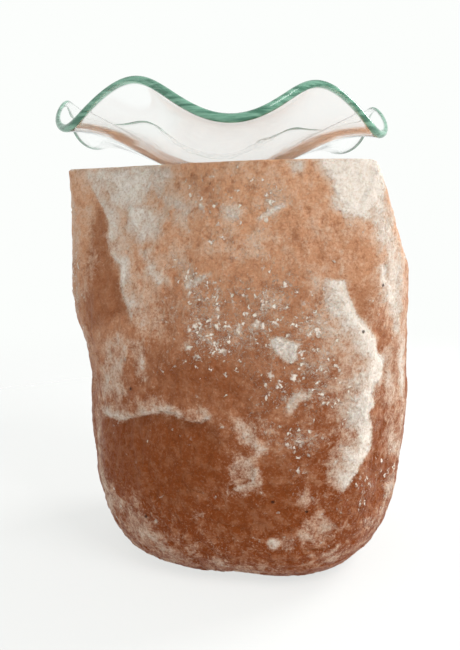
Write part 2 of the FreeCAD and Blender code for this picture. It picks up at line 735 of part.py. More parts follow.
def make_holder_sleeve():
    """Tube over the cap, with a spigot, a collar for the clip and a stop for the block."""
    shoulder = s.sleeve_spigot
    collar_low = shoulder + s.collar_place
    collar_high = collar_low + s.collar_height
    top = shoulder + s.sleeve_height
    stop_low = shoulder + s.block_over_cap
    stop_high = stop_low + s.sleeve_stop
    spigot_radius = CAP_BORE - s.thread_gap
    return turned(
        "holder_sleeve",
        [
            (SLEEVE_BORE, 0.0),
            (spigot_radius, 0.0),
            (spigot_radius, shoulder),
            (s.sleeve_radius, shoulder),
            (s.sleeve_radius, collar_low),
            (s.collar_radius, collar_low),
            (s.collar_radius, collar_high),
            (s.sleeve_radius, collar_high),
            (s.sleeve_radius, top),
            (SLEEVE_BORE, top),
            (SLEEVE_BORE, stop_high),
            (SLEEVE_BORE - s.sleeve_stop, stop_high),
            (SLEEVE_BORE - s.sleeve_stop, stop_low),
            (SLEEVE_BORE, stop_low),
        ],
        SLEEVE_Z - s.sleeve_spigot,
    )


def make_terminal_block():
    """Insulating core: a disc with a pocket for each terminal, and a collar round the shell."""
    disc = SLEEVE_BORE - s.fit_gap
    well = SHELL_RADIUS + s.fit_gap
    collar = well + s.block_collar_wall
    top = s.block_height + s.block_collar_height
    body = turned(
        "terminal_block",
        [
            (0.0, 0.0),
            (disc, 0.0),
            (disc, s.block_height),
            (collar, s.block_height),
            (collar, top),
            (well, top),
            (well, s.block_height),
            (0.0, s.block_height),
        ],
        BLOCK_Z,
    )
    half = s.terminal_side / 2 + s.fit_gap
    screw_height = s.terminal_recess + s.terminal_height / 2
    for name, middle in (("Left", -s.terminal_place), ("Right", s.terminal_place)):
        pocket = new_sketch(body, f"{name}PocketOutline", "XY_Plane")
        draw_outline(
            pocket,
            [
                (middle - half, -half),
                (middle + half, -half),
                (middle + half, half),
                (middle - half, half),
            ],
        )
        depth = s.terminal_recess + s.terminal_height
        add_feature(body, "Pocket", pocket, depth, f"{name}Pocket", backwards=True)
        access = new_sketch(body, f"{name}AccessOutline", "XZ_Plane")
        draw_circle(access, s.screw_head_radius + s.fit_gap, middle, screw_height)
        add_feature(body, "Pocket", access, disc * THROUGH, f"{name}Access", both_ways=True)
    rivets = new_sketch(body, "RivetHoleOutline", "XY_Plane")
    draw_circle(rivets, s.rivet_radius + s.fit_gap, -s.leaf_rivet_place)
    draw_circle(rivets, s.rivet_radius + s.fit_gap, s.shell_rivet_place)
    whole = s.block_height * THROUGH
    add_feature(body, "Pocket", rivets, whole, "RivetHoles", both_ways=True)
    return body


def make_thread_shell():
    """Brass shell round the bulb's thread, with a window and a rivet hole in its floor."""
    body = turned(
        "thread_shell",
        [
            (s.shell_window, 0.0),
            (SHELL_RADIUS, 0.0),
            (SHELL_RADIUS, s.shell_height),
            (SHELL_BORE, s.shell_height),
            (SHELL_BORE, s.shell_wall),
            (s.shell_window, s.shell_wall),
        ],
        BLOCK_TOP_Z,
    )
    hole = new_sketch(body, "RivetHoleOutline", "XY_Plane")
    draw_circle(hole, s.rivet_radius + s.fit_gap, s.shell_rivet_place)
    add_feature(body, "Pocket", hole, s.shell_wall * THROUGH, "RivetHole", both_ways=True)
    return body


def make_centre_contact():
    """Bronze leaf whose tongue stands up to the tip of the bulb."""
    body = new_body("centre_contact", BLOCK_TOP_Z)
    back = s.leaf_rivet_place + s.rivet_head_radius
    bend = s.rivet_head_radius - s.leaf_rivet_place
    top = s.leaf_rise + s.leaf_thickness
    side = new_sketch(body, "SideOutline", "XZ_Plane")
    draw_outline(
        side,
        [
            (-back, 0.0),
            (bend + s.leaf_thickness, 0.0),
            (bend + s.leaf_thickness + s.leaf_rise, s.leaf_rise),
            (s.tip_radius, s.leaf_rise),
            (s.tip_radius, top),
            (bend + s.leaf_rise, top),
            (bend, s.leaf_thickness),
            (-back, s.leaf_thickness),
        ],
    )
    add_feature(body, "Pad", side, s.leaf_width, "Leaf", both_ways=True)
    hole = new_sketch(body, "RivetHoleOutline", "XY_Plane")
    draw_circle(hole, s.rivet_radius + s.fit_gap, -s.leaf_rivet_place)
    whole = s.leaf_thickness * THROUGH
    add_feature(body, "Pocket", hole, whole, "RivetHole", both_ways=True)
    return body


def make_terminals():
    """Two brass terminals, each with a wire hole from below and a screw from the front."""
    side = s.terminal_side
    low = BLOCK_Z + s.terminal_recess
    middle = low + s.terminal_height / 2
    terminals = []
    screws = []
    for name, x in (("left", -s.terminal_place), ("right", s.terminal_place)):
        solid = box(f"{name}_brass", side, side, s.terminal_height, x - side / 2, -side / 2, low)
        wire_hole = cylinder(
            f"{name}_wire_hole", s.wire_hole_radius, s.terminal_height / 2 + side / 2, x, z=low
        )
        screw_hole = cylinder(
            f"{name}_screw_hole",
            s.screw_radius + s.thread_gap,
            s.screw_length + s.thread_gap,
            x,
            -side / 2,
            middle,
            forwards=True,
        )
        holes = fused(f"{name}_terminal_holes", [wire_hole, screw_hole])
        terminals.append(cut(f"terminal_{name}", solid, holes))
        shank = cylinder(
            f"{name}_shank", s.screw_radius, s.screw_length, x, -side / 2, middle, forwards=True
        )
        head = cylinder(
            f"{name}_head",
            s.screw_head_radius,
            s.screw_head_height,
            x,
            -side / 2 - s.screw_head_height,
            middle,
            forwards=True,
        )
        screws.append(fused(f"{name}_screw", [shank, head]))
    return terminals + [fused("terminal_screws", screws)]


def make_rivets():
    """A rivet from each terminal up through the block, to the leaf and to the shell."""
    low = BLOCK_Z + s.terminal_recess + s.terminal_height
    rivets = []
    for name, x, held in (
        ("leaf", -s.leaf_rivet_place, s.leaf_thickness),
        ("shell", s.shell_rivet_place, s.shell_wall),
    ):
        top = BLOCK_TOP_Z + held
        shank = cylinder(f"{name}_rivet_shank", s.rivet_radius, top - low, x, z=low)
        head = cylinder(f"{name}_rivet_head", s.rivet_head_radius, s.rivet_head_height, x, z=top)
        rivets.append(fused(f"{name}_rivet", [shank, head]))
    return fused("contact_rivets", rivets)


# ---------------------------------------------------------------- spring clip


def make_spring_clip():
    """Flat steel ring with three sprung wings that bow out to the wall of the bore."""
    body = new_body("spring_clip", CLIP_Z)
    ring = new_sketch(body, "RingOutline", "XY_Plane")
    draw_circle(ring, s.clip_radius)
    draw_circle(ring, s.sleeve_radius + s.fit_gap)
    add_feature(body, "Pad", ring, s.clip_thickness, "Ring")
    sagitta = s.wing_width * s.wing_width / (8 * BORE_RADIUS)
    bow = BORE_RADIUS - s.wing_gap - sagitta
    end = bow - s.wing_tuck
    low = -(s.wing_drop + s.wing_tail)
    side = new_sketch(body, "WingOutline", "XZ_Plane")
    draw_outline(
        side,
        [
            (s.clip_radius - s.wing_root, 0.0),
            (s.clip_radius - s.clip_thickness, 0.0),
            (bow - s.clip_thickness, -s.wing_drop),
            (end - s.clip_thickness, low),
            (end, low),
            (bow, -s.wing_drop),
            (s.clip_radius, s.clip_thickness),
            (s.clip_radius - s.wing_root, s.clip_thickness),
        ],
    )
    wing = add_feature(body, "Pad", side, s.wing_width, "Wing", both_ways=True)
    repeat_round(body, wing, WINGS)
    return body


def make_ring_nut():
    """Fluted nut that clamps the clip down on the collar of the sleeve."""
    body = new_body("ring_nut", RING_NUT_Z)
    ring = new_sketch(body, "RingOutline", "XY_Plane")
    draw_circle(ring, s.ring_nut_radius)
    draw_circle(ring, s.sleeve_radius + s.thread_gap)
    add_feature(body, "Pad", ring, s.ring_nut_height, "Ring")
    flute = new_sketch(body, "FluteOutline", "XY_Plane")
    draw_circle(flute, s.flute_radius, s.ring_nut_radius + s.flute_radius / 2)
    whole = s.ring_nut_height * THROUGH
    groove = add_feature(body, "Pocket", flute, whole, "Flute", both_ways=True)
    repeat_round(body, groove, s.flute_count)
    return body


# ---------------------------------------------------------------- bulb


def make_bulb_tip():
    return turned(
        "bulb_tip",
        [(0.0, 0.0), (s.tip_radius, 0.0), (s.tip_radius, s.tip_height), (0.0, s.tip_height)],
        TIP_Z,
    )


def make_cap_insulator():
    return turned(
        "cap_insulator",
        [
            (0.0, 0.0),
            (s.tip_radius, 0.0),
            (s.insulator_radius, s.insulator_height),
            (0.0, s.insulator_height),
        ],
        TIP_Z + s.tip_height,
    )


def make_bulb_cap():
    """Thin brass cap: a thread drawn as plain rings, and a skirt that holds the neck."""
    low = s.tip_height + s.insulator_height
    skirt_low = SKIRT_FLOOR - s.bulb_cap_wall
    bore = THREAD_ROOT - s.bulb_cap_wall
    floor_hole = s.insulator_radius - s.bulb_cap_wall
    corners = [(floor_hole, low), (THREAD_ROOT, low)]
    for ring in range(THREAD_RINGS):
        start = low + s.bulb_cap_wall + s.thread_pitch * ring
        corners += [
            (THREAD_ROOT, start),
            (s.thread_radius, start + s.thread_pitch * THREAD_FLANK),
            (s.thread_radius, start + s.thread_pitch * (1 - THREAD_FLANK)),
        ]
    corners += [
        (THREAD_ROOT, low + s.bulb_cap_wall + s.thread_pitch * THREAD_RINGS),
        (THREAD_ROOT, skirt_low - s.skirt_flare),
        (s.skirt_radius, skirt_low),
        (s.skirt_radius, s.bulb_cap_height),
        (s.skirt_radius - s.bulb_cap_wall, s.bulb_cap_height),
        (s.skirt_radius - s.bulb_cap_wall, SKIRT_FLOOR),
        (bore, SKIRT_FLOOR),
        (bore, low + s.bulb_cap_wall),
        (floor_hole, low + s.bulb_cap_wall),
    ]
    return turned("bulb_cap", corners, TIP_Z)


def make_bulb_glass():
    """Blown bulb, open at its neck: outside and inside each end in a dome."""
    neck = BULB_NECK_RADIUS
    wall = s.bulb_wall
    shoulder_low = s.bulb_cap_height + s.bulb_neck
    dome = s.bulb_length - s.bulb_radius
    shoulder_high = dome - s.bulb_straight
    return turned(
        "bulb_glass",
        [
            (neck - wall, SKIRT_FLOOR),
            (neck, SKIRT_FLOOR),
            (neck, shoulder_low),
            (s.bulb_radius, shoulder_high),
            (s.bulb_radius, dome, dome),
            (0.0, s.bulb_length),
            (0.0, s.bulb_length - wall, dome),
            (s.bulb_radius - wall, dome),
            (s.bulb_radius - wall, shoulder_high),
            (neck - wall, shoulder_low),
        ],
        TIP_Z,
    )


def make_bulb_stem():
    """Glass stem whose flare closes the neck."""
    flare = BULB_NECK_RADIUS - s.bulb_wall - s.fit_gap
    return turned(
        "bulb_stem",
        [
            (0.0, 0.0),
            (flare, 0.0),
            (flare, s.bulb_wall),
            (s.stem_radius, s.stem_flare),
            (s.stem_radius, s.stem_height),
            (0.0, s.stem_height),
        ],
        TIP_Z + SKIRT_FLOOR,
    )


def make_lead_wires():
    """Two wires that leave the stem upright and then spread."""
    radius = s.lead_radius.number
    straight = s.lead_straight.number
    wires = []
    for side in (-1, 1):
        foot = FreeCAD.Vector(side * s.lead_spacing.number / 2, 0, 0)
        bend = foot + FreeCAD.Vector(0, 0, straight)
        end = FreeCAD.Vector(side * s.filament_span.number / 2, 0, s.lead_rise.number)
        reach = end - bend
        wire = Part.makeCylinder(radius, straight, foot)
        for ball in (bend, end):
            wire = wire.fuse(Part.makeSphere(radius, ball))
        wires.append(wire.fuse(Part.makeCylinder(radius, reach.Length, bend, reach)))
    shape = Part.makeCompound(wires)
    return free_form("lead_wires", shape, z=TIP_Z + SKIRT_FLOOR + s.stem_height)


def make_filament():
    """Arched filament between the ends of the lead wires, drawn as a plain rod."""
    gap = s.wire_gap.number + s.lead_radius.number
    half = s.filament_span.number / 2
    height = s.lead_rise.number
    foot = height + gap
    top = FreeCAD.Vector(0, 0, height + s.filament_arch.number)
    arch = Part.Arc(FreeCAD.Vector(-half, 0, foot), top, FreeCAD.Vector(half, 0, foot))
    path = Part.Wire(arch.toShape())
    start = path.Edges[0].tangentAt(path.Edges[0].FirstParameter)
    section = Part.Circle(FreeCAD.Vector(-half, 0, foot), start, s.filament_radius.number)
    shape = path.makePipeShell([Part.Wire(section.toShape())], True, False)
    return free_form("filament", shape, z=TIP_Z + SKIRT_FLOOR + s.stem_height)


def make_filament_support():
    length = s.lead_rise + s.filament_arch - s.filament_radius - s.wire_gap
    support = cylinder(
        "support_wire", s.support_radius, length, z=TIP_Z + SKIRT_FLOOR + s.stem_height
    )
    support.Label = "filament_support"
    return support


# ---------------------------------------------------------------- checks and files


def check_document():
    """Stops if anything failed to build, or if a pocket took nothing away."""
    for item in document.Objects:
        if "Invalid" in item.State or "Error" in item.State:
            raise RuntimeError(f"{item.Label} failed: {item.State}")
        if item.TypeId == "PartDesign::Pocket":
            if item.Shape.Volume >= item.BaseFeature.Shape.Volume:
                raise RuntimeError(f"{item.Label} of {item.getParent().Label} cuts nothing")


def write_parts(parts):
    """Checks each part's shape and writes it to a file named after its label."""
    os.makedirs("parts", exist_ok=True)
    for part in parts:
        shape = part.Shape
        if shape.isNull() or not shape.isValid() or shape.Volume <= 0:
            raise RuntimeError(f"{part.Label} has no valid solid")
        shape.exportStep(f"parts/{part.Label}.step")
        print(f"{part.Label}: {len(shape.Solids)} solid(s), {shape.Volume:.1f} mm3")


parts = [make_crystal(), *make_foot_pads(), make_dish()]
parts += [*make_gland(), make_holder_cap(), make_holder_sleeve(), make_terminal_block()]
parts += [make_thread_shell(), make_centre_contact(), *make_terminals(), make_rivets()]
parts += [make_spring_clip(), make_ring_nut()]
parts += [make_bulb_tip(), make_cap_insulator(), make_bulb_cap(), make_bulb_glass()]
parts += [make_bulb_stem(), make_lead_wires(), make_filament(), make_filament_support()]
document.recompute()
check_document()
write_parts(parts)
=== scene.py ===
# %% [markdown]
# # A salt crystal lamp with a wavy glass dish
# The lamp is a broken lump of rock salt, sawn flat on top and underneath. A lampholder hides in a
# bore from below, and a loose dish of slumped glass rests on the flat top. The frame holds every
# piece at its real size. This script gives the pieces their looks: the broken skin of the salt,
# the clear glass with its green edge, and the metals and plastics inside.

# %% Load the frame
import json
import math

import bmesh
import bpy
import mathutils
import numpy as np
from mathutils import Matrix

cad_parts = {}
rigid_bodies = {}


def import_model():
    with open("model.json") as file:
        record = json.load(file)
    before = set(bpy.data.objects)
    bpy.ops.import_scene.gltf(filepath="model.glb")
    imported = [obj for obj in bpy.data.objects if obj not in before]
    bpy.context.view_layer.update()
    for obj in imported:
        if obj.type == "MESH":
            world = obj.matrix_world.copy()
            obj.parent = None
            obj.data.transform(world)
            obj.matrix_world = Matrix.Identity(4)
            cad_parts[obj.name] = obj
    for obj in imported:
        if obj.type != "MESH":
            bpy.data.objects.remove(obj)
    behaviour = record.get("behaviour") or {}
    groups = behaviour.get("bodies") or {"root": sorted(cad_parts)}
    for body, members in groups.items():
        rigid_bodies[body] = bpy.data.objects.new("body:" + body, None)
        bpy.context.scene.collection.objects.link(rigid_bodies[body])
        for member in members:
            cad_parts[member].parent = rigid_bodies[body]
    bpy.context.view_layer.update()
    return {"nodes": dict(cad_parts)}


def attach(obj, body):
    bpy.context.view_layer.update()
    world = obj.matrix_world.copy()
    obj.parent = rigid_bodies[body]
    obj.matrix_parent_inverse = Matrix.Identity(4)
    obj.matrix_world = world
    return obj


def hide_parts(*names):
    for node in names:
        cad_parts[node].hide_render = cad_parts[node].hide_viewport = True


for thing in list(bpy.data.objects):  # an empty scene, without Blender's own cube, lamp and camera
    bpy.data.objects.remove(thing)
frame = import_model()
MM = 0.001  # the frame is in metres, and the sizes below are in millimetres

# %% [markdown]
# ## The camera
# The photograph was taken from a little under the top of the crystal, looking slightly down. The
# same camera is also used as a ruler: a mark on the crystal that was read off the photograph at
# some pixel is found again on the skin by sending the skin's points through this camera.

# %% Camera
CAMERA_PLACE = np.array([-8.25, -295.9, 143.5])
CAMERA_PITCH = 0.157  # radians downwards
CAMERA_YAW = 0.019  # radians to the right
FOCAL_PX = 680.9
PHOTO_WIDTH = 460
PHOTO_HEIGHT = 650
SENSOR_MM = 36.0


def photo_place(points):
    """Where points (..., 3) in millimetres land in the photograph, as pixels (..., 2).

    The point is turned by the yaw and then by the pitch into the camera's own right, up and
    forward directions, and the first two are divided by the third.
    """
    x, y, z = np.moveaxis(points - CAMERA_PLACE, -1, 0)
    right = x * math.cos(CAMERA_YAW) - y * math.sin(CAMERA_YAW)
    level = x * math.sin(CAMERA_YAW) + y * math.cos(CAMERA_YAW)
    ahead = level * math.cos(CAMERA_PITCH) - z * math.sin(CAMERA_PITCH)
    up = level * math.sin(CAMERA_PITCH) + z * math.cos(CAMERA_PITCH)
    across = PHOTO_WIDTH / 2 + FOCAL_PX * right / ahead
    down = PHOTO_HEIGHT / 2 - FOCAL_PX * up / ahead
    return np.stack([across, down], axis=-1)


camera_data = bpy.data.cameras.new("camera")
camera_data.lens = FOCAL_PX * SENSOR_MM / PHOTO_HEIGHT
camera_data.sensor_width = SENSOR_MM
camera = bpy.data.objects.new("camera", camera_data)
camera.location = CAMERA_PLACE * MM
camera.rotation_euler = (math.pi / 2 - CAMERA_PITCH, 0.0, -CAMERA_YAW)
bpy.context.collection.objects.link(camera)
bpy.context.scene.camera = camera
print(f"camera: lens {camera_data.lens:.2f} mm")

# %% [markdown]
# ## Meshes from grids
# Every new piece is a function of two parameters, worked out for a whole grid of points at once.
# One helper turns such a grid into a mesh. The grid can close on itself in one direction or in
# both, as the skin of a ring does. The mesh's signed volume says whether its faces point
# outwards, and they are turned round when they don't.


# %% Grid helper
def grid_faces(rows, columns, close_rows, close_columns):
    """Corner numbers of the quads between neighbouring points of a grid."""
    row = np.arange(rows if close_rows else rows - 1)[:, None]
    column = np.arange(columns if close_columns else columns - 1)[None, :]
    below = row * columns
    above = (row + 1) % rows * columns
    beside = (column + 1) % columns
    corners = [below + column, below + beside, above + beside, above + column]
    return np.stack([np.broadcast_to(c, (row.size, column.size)) for c in corners], -1).reshape(-1, 4)


def signed_volume(points, faces):
    """Volume under a closed mesh, by the pyramids from the origin to each quad's two triangles."""
    a, b, c, d = (points[faces[:, i]] for i in range(4))
    halves = np.cross(a, b) * c + np.cross(a, c) * d
    return halves.sum() / 6


def grid_piece(name, points, close_rows=False, close_columns=True, attributes=None):
    """Makes a smooth mesh object from points (rows, columns, 3) in millimetres."""
    rows, columns = points.shape[:2]
    flat = points.reshape(-1, 3)
    faces = grid_faces(rows, columns, close_rows, close_columns)
    if signed_volume(flat, faces) < 0:
        faces = faces[:, ::-1]
    mesh = bpy.data.meshes.new(name)
    mesh.vertices.add(len(flat))
    mesh.vertices.foreach_set("co", (flat * MM).astype(np.float32).ravel())
    mesh.loops.add(faces.size)
    mesh.loops.foreach_set("vertex_index", faces.astype(np.int32).ravel())
    mesh.polygons.add(len(faces))
    mesh.polygons.foreach_set("loop_start", np.arange(0, faces.size, 4, dtype=np.int32))
    mesh.polygons.foreach_set("use_smooth", np.ones(len(faces), dtype=bool))
    mesh.update(calc_edges=True)
    for label, values in (attributes or {}).items():
        layer = mesh.attributes.new(label, "FLOAT", "POINT")
        layer.data.foreach_set("value", values.astype(np.float32).ravel())
    piece = bpy.data.objects.new(name, mesh)
    bpy.context.collection.objects.link(piece)
    print(f"{name}: {len(flat)} points, {len(faces)} faces")
    return piece


# %% [markdown]
# ## Noise
# Broken rock has relief at every scale. Value noise gives one scale of it: each corner of a
# lattice gets a random number from a whole-number hash, and a point takes a smooth blend of the
# eight corners round it. Adding finer and weaker layers gives the rest. It has no random state,
# so the rock is the same on every run.


# %% Noise on arrays
def hashed(cells, seed):
    """A number from 0 to 1 for each whole-number cell (..., 3), mixed by multiplying and shifting."""
    x, y, z = np.moveaxis(cells.astype(np.uint64), -1, 0)
    mixed = x * np.uint64(73856093) ^ y * np.uint64(19349663) ^ z * np.uint64(83492791)
    mixed = (mixed + np.uint64(seed * 2654435761)) * np.uint64(0x9E3779B97F4A7C15)
    mixed ^= mixed >> np.uint64(29)
    mixed = mixed * np.uint64(0xBF58476D1CE4E5B9)
    return (mixed >> np.uint64(40)).astype(float) / 2**24


def value_noise(points, size, seed):
    """Smooth noise from -1 to 1 whose lumps are about size across.

    With f the place inside a cell, each axis blends its two ends by f * f * (3 - 2 * f).
    """
    scaled = points / size + 1000.0
    cell = np.floor(scaled)
    inside = scaled - cell
    blend = inside * inside * (3 - 2 * inside)
    total = np.zeros(points.shape[:-1])
    for corner in np.ndindex(2, 2, 2):
        weight = np.prod(np.where(corner, blend, 1 - blend), axis=-1)
        total += weight * hashed(cell + corner, seed)
    return total * 2 - 1


def layered_noise(points, size, layers, seed):
    """Adds layers of noise, each half the size of the last and half as strong."""
    total = np.zeros(points.shape[:-1])
    for layer in range(layers):
        total += value_noise(points, size / 2**layer, seed + layer) / 2**layer
    return total


def smooth_step(values, low, high):
    """0 under low, 1 over high, and t * t * (3 - 2 * t) between them."""
    t = np.clip((values - low) / (high - low), 0, 1)
    return t * t * (3 - 2 * t)


# %% [markdown]
# ## The lump of salt
# The crystal was split from a bigger block, then tumbled on its way here, so it is a rounded
# column with a few flat breaks. Its outline is given at nine heights in eight directions, as in
# the frame, and smooth curves run through these. The flat breaks are planes: where the lump
# stands out past one, it is drawn in towards the axis until it lies on the plane.

# %% Sizes of the crystal
WIDTH = 143.0
DEPTH = 124.0
HEIGHT = 161.3
BASE_Z = 2.0  # underside of the crystal, on its foot pads
TOP_Z = BASE_Z + HEIGHT
BORE_RADIUS = 25.0
BORE_DEPTH = 120.56
BORE_TOP_Z = BASE_Z + BORE_DEPTH
SHAFT_RADIUS = 11.0
MOUTH_CHAMFER = 2.0
HEADINGS = [0, 45, 90, 135, 180, 225, 270, 308]
#  height   right back_r back   back_l left   front_l front front_r
OUTLINE = [
    (0.000, (0.79, 0.74, 0.72, 0.66, 0.70, 0.66, 0.69, 0.80)),
    (0.040, (0.88, 0.84, 0.83, 0.76, 0.76, 0.74, 0.79, 0.91)),
    (0.135, (0.98, 0.94, 0.92, 0.88, 0.85, 0.82, 0.88, 1.03)),
    (0.305, (1.03, 0.99, 0.97, 0.94, 0.89, 0.86, 0.94, 1.09)),
    (0.485, (1.03, 1.02, 0.99, 0.97, 0.89, 0.85, 0.95, 1.11)),
    (0.660, (1.01, 1.01, 1.00, 1.00, 0.98, 0.82, 0.93, 1.12)),
    (0.825, (0.99, 0.98, 0.99, 1.00, 1.00, 0.76, 0.88, 1.12)),
    (0.945, (0.94, 0.94, 0.97, 0.97, 0.99, 0.71, 0.83, 1.12)),
    (1.000, (0.91, 0.91, 0.95, 0.94, 0.99, 0.68, 0.80, 1.12)),
]
BREAKS = {  # direction, upward tilt in degrees, distance as a share of half the width
    "top_right": (347.0, 20.0, 1.148),
    "upper_left": (235.0, 10.0, 0.779),
    "lower_right": (322.0, -3.0, 0.995),
    "back_right": (48.0, 6.0, 0.895),
    "back_left": (132.0, -5.0, 0.86),
    "back_foot": (88.0, -24.0, 1.007),
}
BREAK_SOFTNESS = 0.9  # how far the edge of a break is worn round, mm
COLUMNS = 430
SKIN_ROWS = 190


# %% Smooth curves through given values
def closed_curve(values, places):
    """Cubic curve through evenly spaced values (count, ...) that closes on itself.

    The bends m at the values solve m[i-1] + 4 m[i] + m[i+1] = 6 (v[i-1] - 2 v[i] + v[i+1]).
    """
    count = len(values)
    eye = np.eye(count)
    matrix = 4 * eye + np.roll(eye, 1, axis=1) + np.roll(eye, -1, axis=1)
    bends = np.linalg.solve(matrix, 6 * (np.roll(values, 1, 0) - 2 * values + np.roll(values, -1, 0)))
    low = np.floor(places).astype(int) % count
    high = (low + 1) % count
    t = (places % count - low)[:, None]
    straight = values[low] * (1 - t) + values[high] * t
    sag = bends[low] * ((1 - t) ** 3 - (1 - t)) + bends[high] * (t**3 - t)
    return straight + sag / 6


def open_curve(stops, values, places):
    """Cubic curve through values (count, ...) at unevenly spaced stops, straight at both ends."""
    count = len(stops)
    gaps = np.diff(stops)
    slopes = np.diff(values, axis=0) / gaps.reshape(-1, *[1] * (values.ndim - 1))
    matrix = np.eye(count)
    right = np.zeros_like(values)
    inner = np.arange(1, count - 1)
    matrix[inner, inner - 1] = gaps[:-1]
    matrix[inner, inner] = 2 * (gaps[:-1] + gaps[1:])
    matrix[inner, inner + 1] = gaps[1:]
    right[1:-1] = 6 * np.diff(slopes, axis=0)
    bends = np.linalg.solve(matrix, right.reshape(count, -1)).reshape(values.shape)
    low = np.clip(np.searchsorted(stops, places, side="right") - 1, 0, count - 2)
    gap = gaps[low]
    shape = (-1, *[1] * (values.ndim - 1))
    t = ((places - stops[low]) / gap).reshape(shape)
    sag = bends[low] * ((1 - t) ** 3 - (1 - t)) + bends[low + 1] * (t**3 - t)
    return values[low] * (1 - t) + values[low + 1] * t + sag * (gap**2).reshape(shape) / 6


# %% The bare lump
def crystal_lump(shares, places):
    """Points (heights, columns, 3) of the lump with its flat breaks, before its fine relief."""
    angles = np.radians(HEADINGS)
    reaches = np.array([level[1] for level in OUTLINE])
    knots = np.stack([reaches * np.cos(angles) * WIDTH / 2, reaches * np.sin(angles) * DEPTH / 2], -1)
    rings = np.stack([closed_curve(level, places) for level in knots])
    skin = open_curve(np.array([level[0] for level in OUTLINE]), rings, shares)
    z = np.broadcast_to(BASE_Z + HEIGHT * shares[:, None, None], (*skin.shape[:2], 1))
    skin = np.concatenate([skin, z], axis=-1)
    keep = np.ones(skin.shape[:2])
    reach = np.hypot(skin[..., 0], skin[..., 1])
    for heading, upwards, share in BREAKS.values():
        level = math.cos(math.radians(upwards))
        outward = np.array([math.cos(math.radians(heading)), math.sin(math.radians(heading))]) * level
        rise = math.sin(math.radians(upwards)) * (skin[..., 2] - BASE_Z - HEIGHT / 2)
        facing = np.maximum(skin[..., :2] @ outward, 1e-3)
        room = (share * WIDTH / 2 - rise) / facing  # 1 where the lump just touches the plane
        gap = (room - keep) * reach / BREAK_SOFTNESS
        blend = np.clip(0.5 + gap / 2, 0, 1)
        rounding = blend * (1 - blend) * BREAK_SOFTNESS / reach
        keep = np.where(blend < 1, room * (1 - blend) + keep * blend - rounding, keep)
    skin[..., :2] *= keep[..., None]
    return skin


# %% [markdown]
# ## The breaks that the photograph shows
# The front carries marks that anyone would know it by: a raised plate with a pale broken edge on
# the right, a pale shelf over a dark hollow on the left, and a long ridge beside a smooth dark
# face at the upper left. They are drawn as lines over the photograph, in its pixels. On one side
# of such a line the skin drops by a few tenths of a millimetre up to a few millimetres, and comes
# back further out.


# %% Lines and patches
def along_line(places, line):
    """Distance from places (..., 2) to a line of corners, which side they are on, and how far along.

    The nearest point of each straight piece is found by projecting on it. The side is +1 to the
    left of the line's direction as it is drawn on the photograph, and -1 to its right.
    """
    line = np.array(line, dtype=float)
    lengths = np.hypot(*np.diff(line, axis=0).T)
    starts = np.concatenate([[0], np.cumsum(lengths)])
    nearest = np.full(places.shape[:-1], np.inf)
    side = np.ones(places.shape[:-1])
    along = np.zeros(places.shape[:-1])
    for start, end, length, before in zip(line[:-1], line[1:], lengths, starts):
        way = (end - start) / length
        away = places - start
        reach = np.clip(away @ way, 0, length)
        distance = np.hypot(*np.moveaxis(away - reach[..., None] * way, -1, 0))
        closer = distance < nearest
        nearest = np.where(closer, distance, nearest)
        turned = way[1] * away[..., 0] - way[0] * away[..., 1]
        side = np.where(closer, np.sign(turned), side)
        along = np.where(closer, (before + reach) / starts[-1], along)
    return nearest, side, along


def ledge(places, line, drop, reach, rise=0.0):
    """Relief in mm beside a line: it drops on the left side and may rise on the right side.

    The drop fades as exp(-distance / reach), and runs out towards both ends of the line.
    """
    distance, side, along = along_line(places, line)
    ends = smooth_step(along, 0.0, 0.18) * smooth_step(1 - along, 0.0, 0.18)
    low = smooth_step(side * distance, -0.8, 0.8)
    return ends * (rise * (1 - low) - drop * low) * np.exp(-distance / reach)


def patch(places, outline, softness):
    """1 inside a closed outline, 0 outside, with an edge that is softness pixels wide."""
    distance, _, _ = along_line(places, [*outline, outline[0]])
    x, y = np.moveaxis(places, -1, 0)
    inside = np.zeros(places.shape[:-1], dtype=bool)
    for (x0, y0), (x1, y1) in zip(outline, [*outline[1:], outline[0]]):
        crosses = (y0 > y) != (y1 > y)
        rise = (y1 - y0) or 1e-9
        inside ^= crosses & (x < x0 + (x1 - x0) * (y - y0) / rise)
    return smooth_step(np.where(inside, distance, -distance), -softness / 2, softness / 2)


# %% Ledges on the front, in pixels of the photograph
PLATE_EDGE = [(316, 276), (331, 281), (343, 281), (345, 292), (351, 305), (356, 316), (366, 328)]
PLATE_EDGE += [(374, 340), (376, 352), (382, 360), (381, 374), (372, 386), (370, 396), (374, 405)]
PLATE_EDGE += [(367, 412), (370, 421), (371, 447), (362, 459), (355, 472), (344, 488), (338, 499)]
SHELF_EDGE = [(206, 410), (210, 417), (201, 423), (185, 420), (173, 414), (160, 412), (148, 414)]
SHELF_EDGE += [(132, 417), (120, 419), (104, 414), (97, 402)]
RIDGE = [(134, 326), (128, 308), (121, 288), (122, 266), (112, 256), (108, 242), (110, 230)]
RIDGE += [(109, 219), (102, 206), (93, 188), (92, 170)]
LEFT_RIM = [(86, 190), (89, 221), (90, 246), (91, 256), (85, 271), (83, 288), (84, 308)]
CORNER_LINE = [(371, 158), (372, 176), (370, 188), (363, 200), (362, 214)]
FLAKE_FOOT = [(256, 466), (252, 482), (241, 486), (231, 491), (225, 490)]
CHIP_EDGE = [(300, 343), (296, 352), (297, 360), (287, 365), (277, 358)]
FOOT_CRACK = [(340, 544), (330, 551), (318, 552), (299, 555)]
RIGHT_FOLD = [(383, 262), (385, 276), (390, 290), (392, 304)]
LOW_RIGHT_LIP = [(395, 478), (388, 484), (380, 492)]
STREAK_EDGE = [(137, 337), (142, 352), (143, 368), (146, 384)]
